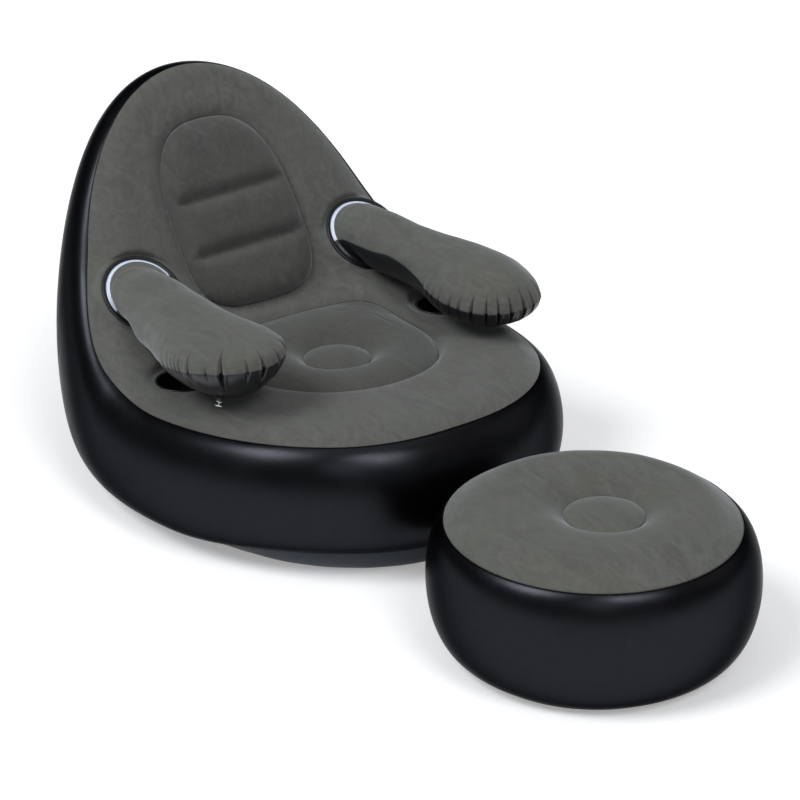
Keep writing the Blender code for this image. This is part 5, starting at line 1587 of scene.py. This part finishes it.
@dataclass
class Footstool:
    """Round footstool with a sunk button in its ring cushion."""

    finishes: Finishes
    y: float = -0.951
    seam_radius: float = 0.283
    seam_height: float = 0.2615
    crown_height: float = 0.299
    crown_share: float = 0.42
    well_power: float = 3.4
    base_radius: float = 0.246
    base_height: float = 0.0045
    bulge: float = 0.056
    bulge_shift: float = 0.006
    lift: float = -0.08
    button_x: float = 0.028
    button_radius: float = 0.079
    core_gap: float = 0.003
    button_height: float = 0.264
    button_dome: float = 0.017
    sheet_border: float = 0.004
    bead_gap: float = 0.0003
    columns: int = 320
    top_rows: int = 60
    wall_rows: int = 48
    edge_gap: float = 0.00005

    def around(self, radius: float | Array, height: float | Array, shift: float = 0.0) -> Array:
        """Ring of places round the footstool's axis."""
        angle = turn_steps(self.columns)
        return np.stack([shift + radius * np.sin(angle), self.y - radius * np.cos(angle),
                         np.broadcast_to(height, angle.shape)], axis=1)

    def top_height(self, share: float) -> float:
        """Height of the ring cushion, share 0 at its weld and 1 at the button."""
        if share < self.crown_share:
            rise = math.sin(math.pi / 2 * share / self.crown_share)
            return self.seam_height + (self.crown_height - self.seam_height) * rise
        fall = (share - self.crown_share) / (1 - self.crown_share)
        return self.crown_height - (self.crown_height - self.button_height) * fall ** self.well_power

    def fit(self, node: str, slot: str, material: bpy.types.Material) -> Fitting:
        """Fitting of one of the footstool's pieces."""
        return Fitting(OTTOMAN, (node,), slot, material)

    def top(self) -> bpy.types.Object:
        """Flocked ring cushion."""
        rows = []
        outer = self.around(self.seam_radius - self.edge_gap, 0.0)
        inner = self.around(self.button_radius + self.edge_gap, 0.0, self.button_x)
        for share in 1 - (1 - np.linspace(0, 1, self.top_rows)) ** 1.3:
            row = outer + (inner - outer) * share
            row[:, 2] = self.top_height(share)
            hold = float(smooth(np.array(share * 8))) * float(smooth(np.array((1 - share) * 6)))
            row[:, 2] += hold * swelling(row, (0.0014, 0.11, 2.0), (0.0005, 0.035, 7.0))
            rows.append(row)
        faces = grid_faces(len(rows), self.columns, closed=True)
        fitting = self.fit("ottoman_top", "grey_flock", self.finishes.arm_flock)
        piece = add_piece("ottoman_ring_cushion", np.concatenate(rows), faces, fitting, FLOCK_FILM)
        return piece

    def button(self) -> bpy.types.Object:
        """Domed disc in the middle of the ring."""
        shares = np.linspace(1, 0.08, 14)
        rows = []
        for share in shares:
            height = self.button_height + self.button_dome * (1 - share ** 2.2)
            row = self.around((self.button_radius - self.edge_gap) * share, height, self.button_x)
            row[:, 2] += 0.0006 * ripples(row, 0.04, 1.5) * (1 - share)
            rows.append(row)
        points = np.concatenate([*rows, [[self.button_x, self.y, self.button_height + self.button_dome]]])
        faces = disc_faces(len(rows), self.columns)
        fitting = self.fit("ottoman_button", "grey_flock", self.finishes.arm_flock)
        piece = add_piece("ottoman_button_disc", points, faces, fitting, FLOCK_FILM)
        return piece

    def wall_lines(self) -> list[Array]:
        """Rows of the wall, from the floor up."""
        low = self.around(self.base_radius, self.base_height)
        high = self.around(self.seam_radius, self.seam_height)
        outward = unit(self.around(1.0, 0.0) - np.array([0.0, self.y, 0.0]))
        rows = []
        for share in eased_shares(self.wall_rows, 0.4):
            bulge = self.bulge + self.bulge_shift * outward[:, 0]
            row = bulged(low, high, outward, bulge, np.array(self.lift), share)
            swell = 0.0014 * math.sin(math.pi * share) * ripples(row, 0.20, 6.0)
            pull = 0.0011 * math.exp(-share / 0.06) * (share > 0)
            swell = swell + pull * ripples(row * UPRIGHT, 0.016, 3.0)
            rows.append(row + outward * swell[:, None])
        return rows

    def walls(self) -> list[bpy.types.Object]:
        """Black wall, its two weld beads and the floor sheet under it."""
        rows = self.wall_lines()
        faces = grid_faces(len(rows), self.columns, closed=True)
        fitting = self.fit("ottoman_wall", "black_film", self.finishes.black)
        wall = add_piece("ottoman_wall_film", np.concatenate(rows), faces, fitting, PLAIN_FILM)
        level = unit(rows[-1] * np.array([1.0, 1.0, 0.0]) - np.array([0.0, self.y, 0.0]))
        outward = unit(level + np.array([0.0, 0.0, 1.1]))
        thick = BEAD_RADIUS * (1 + 0.12 * ripples(rows[-1], 0.03, 1.3))
        points, faces = bead(rows[-1] + outward * RIM_STAND, outward, thick)
        fitting = self.fit("ottoman_rim_weld", "weld_bead", self.finishes.weld)
        rim = add_piece("ottoman_rim_bead", points, faces, fitting)
        low = self.around(self.base_radius, PLAIN_FILM + self.bead_gap + BEAD_RADIUS)
        points, faces = bead(low, level, BEAD_RADIUS)
        fitting = self.fit("ottoman_base_weld", "weld_bead", self.finishes.weld)
        base = add_piece("ottoman_base_bead", points, faces, fitting)
        return [wall, rim, base, self.floor_sheet()]

    def floor_sheet(self) -> bpy.types.Object:
        """Bottom film, flat on the floor."""
        edge = self.base_radius + self.sheet_border
        rings = [self.around(edge * share, 0.0) for share in (0.1, 0.5, 1.0)]
        points, faces = slab(rings, np.array([0.0, self.y, 0.0]), PLAIN_FILM)
        fitting = self.fit("ottoman_floor_sheet", "black_film", self.finishes.black)
        return add_piece("ottoman_floor_film", points, faces, fitting)

    def core(self) -> bpy.types.Object:
        """Inner tube that holds the button down."""
        points, faces = core_tube(self.button_x, self.y, self.button_radius - self.core_gap,
                                  self.button_height - self.core_gap)
        fitting = self.fit("ottoman_core_tube", "inner_film", self.finishes.inner)
        return add_piece("ottoman_core_film", points, faces, fitting)

    def build(self) -> list[bpy.types.Object]:
        """Make the footstool."""
        return [self.top(), self.button(), self.core(), *self.walls()]


# Studio

@dataclass(frozen=True)
class Softbox:
    """Broad soft light, far away in one direction."""

    name: str
    toward: Place
    strength: float
    spread: float
    color: Color

    def build(self) -> None:
        """Add the light."""
        data = bpy.data.lights.new(self.name, "SUN")
        data.energy = self.strength
        data.angle = math.radians(self.spread)
        data.color = self.color
        light = bpy.data.objects.new(self.name, data)
        light.rotation_mode = "QUATERNION"
        light.rotation_quaternion = Vector(self.toward).to_track_quat("Z", "Y")
        bpy.context.scene.collection.objects.link(light)


SOFTBOXES = (
    Softbox("top_softbox", (0.10, 0.05, 0.99), 0.42, 50.0, (1.0, 0.995, 0.985)),
    Softbox("left_softbox", (-0.62, 0.10, 0.775), 2.00, 28.0, (0.955, 0.975, 1.0)),
    Softbox("front_softbox", (-0.06, -0.62, 0.78), 1.15, 24.0, (0.965, 0.98, 1.0)),
    Softbox("low_softbox", (-0.46, -0.70, 0.55), 0.18, 24.0, (0.965, 0.98, 1.0)),
    Softbox("right_softbox", (0.80, -0.30, 0.50), 0.09, 36.0, (1.0, 0.99, 0.975)),
)


@dataclass
class Studio:
    """Camera, lights, surroundings and floor."""

    camera_place: Place = (-3.070, -4.536, 2.753)
    camera_view: Place = (0.53277, 0.72896, -0.42985)
    focal_length: float = 127.3
    floor_half: float = 60.0
    horizon: Color = (0.145, 0.148, 0.158)
    sky: Color = (0.145, 0.148, 0.155)
    floor_tones: tuple[Color, Color] = ((0.755, 0.756, 0.760), (0.768, 0.769, 0.772))
    floor_gap: float = 0.0005
    glow: float = 0.31

    def camera(self) -> None:
        """Camera at the photograph's viewing angle."""
        data = bpy.data.cameras.new("studio_camera")
        data.sensor_width = 36.0
        data.lens = self.focal_length
        data.clip_start = 0.05
        data.clip_end = 200.0
        camera = bpy.data.objects.new("studio_camera", data)
        camera.location = self.camera_place
        camera.rotation_mode = "QUATERNION"
        camera.rotation_quaternion = Vector(self.camera_view).to_track_quat("-Z", "Y")
        bpy.context.scene.collection.objects.link(camera)
        bpy.context.scene.camera = camera

    def world(self) -> None:
        """Pale surroundings, a little bluer towards the horizon."""
        world = bpy.data.worlds.new("studio_world")
        world.use_nodes = True
        tree = world.node_tree
        tree.nodes.clear()
        coords = tree.nodes.new("ShaderNodeTexCoord")
        split = tree.nodes.new("ShaderNodeSeparateXYZ")
        span = tree.nodes.new("ShaderNodeMapRange")
        span.inputs["From Min"].default_value = 0.02
        span.inputs["From Max"].default_value = 0.35
        mix = tree.nodes.new("ShaderNodeMix")
        mix.data_type = "RGBA"
        mix.inputs[6].default_value = (*self.horizon, 1.0)
        mix.inputs[7].default_value = (*self.sky, 1.0)
        back = tree.nodes.new("ShaderNodeBackground")
        out = tree.nodes.new("ShaderNodeOutputWorld")
        tree.links.new(coords.outputs["Generated"], split.inputs["Vector"])
        tree.links.new(split.outputs["Z"], span.inputs["Value"])
        tree.links.new(span.outputs["Result"], mix.inputs["Factor"])
        tree.links.new(mix.outputs[2], back.inputs["Color"])
        tree.links.new(back.outputs["Background"], out.inputs["Surface"])
        bpy.context.scene.world = world

    def floor_glow(self, shader: Shader) -> None:
        """Light that the floor adds for the eye, for glossy films and through clear ones.

        Args:
            shader: Floor's shader.
        """
        path = shader.node("ShaderNodeLightPath")
        seen = path.outputs["Is Camera Ray"]
        for ray in ("Is Glossy Ray", "Is Transmission Ray"):
            joined = shader.node("ShaderNodeMath", {0: seen, 1: path.outputs[ray]}, operation="MAXIMUM")
            seen = joined.outputs[0]
        glow = shader.node("ShaderNodeMath", {0: seen, 1: self.glow}, operation="MULTIPLY")
        shader.set(Emission_Color=(1.0, 1.0, 1.0, 1.0), Emission_Strength=glow.outputs[0])

    def floor(self) -> None:
        """Plain pale floor."""
        shader = Shader("pale_floor")
        tone = shader.blend(shader.noise(3.0, detail=1.0), *self.floor_tones)
        shader.set(Base_Color=tone, Roughness=1.0, Specular_IOR_Level=0.0)
        self.floor_glow(shader)
        half = self.floor_half
        corners = [(-half, -half, 0), (half, -half, 0), (half, half, 0), (-half, half, 0)]
        mesh = bpy.data.meshes.new("studio_floor")
        mesh.from_pydata(corners, [], [(0, 1, 2, 3)])
        mesh.materials.append(shader.material)
        floor = bpy.data.objects.new("studio_floor", mesh)
        floor.location.z = -self.floor_gap
        bpy.context.scene.collection.objects.link(floor)

    def build(self) -> None:
        """Set up camera, world, lights and floor."""
        bpy.context.scene.view_settings.view_transform = "Standard"
        self.camera()
        self.world()
        self.floor()
        for softbox in SOFTBOXES:
            softbox.build()


def inner_pieces(finishes: Finishes) -> None:
    """Dress the ties inside the chambers, which stay as the frame has them."""
    for name, node in frame["nodes"].items():
        if "tie" in name:
            for slot in node.material_slots:
                slot.material = finishes.inner


LEFT_GATHERS = (
    Gather(-0.150, 0.0020, 0.0030, 0.026), Gather(-0.100, 0.0032, 0.0030, 0.034),
    Gather(-0.052, 0.0056, 0.0032, 0.048), Gather(-0.008, 0.0070, 0.0034, 0.056),
    Gather(0.028, 0.0030, 0.0030, 0.026), Gather(0.080, 0.0075, 0.0036, 0.058),
    Gather(0.112, 0.0022, 0.0026, 0.018), Gather(0.155, 0.0056, 0.0030, 0.044),
    Gather(0.181, 0.0036, 0.0024, 0.040), Gather(0.194, 0.0030, 0.0022, 0.036),
    Gather(0.208, 0.0032, 0.0024, 0.034), Gather(0.226, 0.0028, 0.0024, 0.028),
    Gather(0.250, 0.0022, 0.0026, 0.022), Gather(0.282, 0.0018, 0.0030, 0.018),
)
RIGHT_GATHERS = (
    Gather(-0.262, 0.0016, 0.0026, 0.018), Gather(-0.236, 0.0020, 0.0024, 0.022),
    Gather(-0.214, 0.0024, 0.0024, 0.026), Gather(-0.192, 0.0020, 0.0022, 0.022),
    Gather(-0.160, 0.0030, 0.0026, 0.030), Gather(-0.136, 0.0036, 0.0026, 0.034),
    Gather(-0.106, 0.0052, 0.0028, 0.042), Gather(-0.074, 0.0050, 0.0028, 0.044),
    Gather(-0.048, 0.0052, 0.0028, 0.046), Gather(-0.020, 0.0046, 0.0028, 0.040),
    Gather(0.012, 0.0064, 0.0030, 0.050), Gather(0.040, 0.0050, 0.0028, 0.042),
    Gather(0.080, 0.0060, 0.0030, 0.048), Gather(0.124, 0.0044, 0.0028, 0.040),
    Gather(0.170, 0.0036, 0.0026, 0.034), Gather(0.215, 0.0024, 0.0026, 0.024),
)


def main() -> None:
    """Build every piece in order."""
    logging.basicConfig(level=logging.INFO, format="%(message)s")
    Studio().build()
    finishes = Finishes()
    sheet = BentSheet()
    parts = [
        Covers(sheet, finishes),
        Shell(sheet, finishes),
        Arm(Side.LEFT, sheet, finishes, LEFT_GATHERS, outer_seam=(-34.0, -40.0, -14.0, 0.0),
            inner_seam=(16.0, 22.0, 30.0, 0.0), nose_lift=0.032, band_roll=-17.0, neck_half_width=0.086,
            neck_half_height=0.065, root_shift=0.009, root_slump=0.018, slump_share=0.42),
        Arm(Side.RIGHT, sheet, finishes, RIGHT_GATHERS, outer_seam=(4.0, 6.0, 0.0, 0.0),
            inner_seam=(0.0, 16.0, 4.0, 0.0), nose_lift=-0.010, band_roll=0.0, neck_half_width=0.077,
            neck_half_height=0.059, root_shift=0.002, root_slump=0.009, slump_share=0.25),
        *(CupHolder(side, sheet, finishes) for side in Side),
        *(Valve(f"{side.label}_arm", f"{side.label}_arm", f"{side.label}_arm_plug",
                f"{side.label}_arm_plug_pull", finishes, shift=(0.022, -0.008, -0.009)) for side in Side),
        Valve("chair", CHAIR, "chair_plug", "chair_plug_pull", finishes, flange=0.026, neck=0.015,
              bore=0.011, lip=0.007, cap=0.018),
        Valve("ottoman", OTTOMAN, "ottoman_plug", "ottoman_plug_pull", finishes),
        Footstool(finishes),
    ]
    for part in parts:
        made = part.build()
        LOG.info("%s: %s", type(part).__name__, ", ".join(piece.name for piece in made))
    inner_pieces(finishes)


if __name__ == "__main__":
    main()
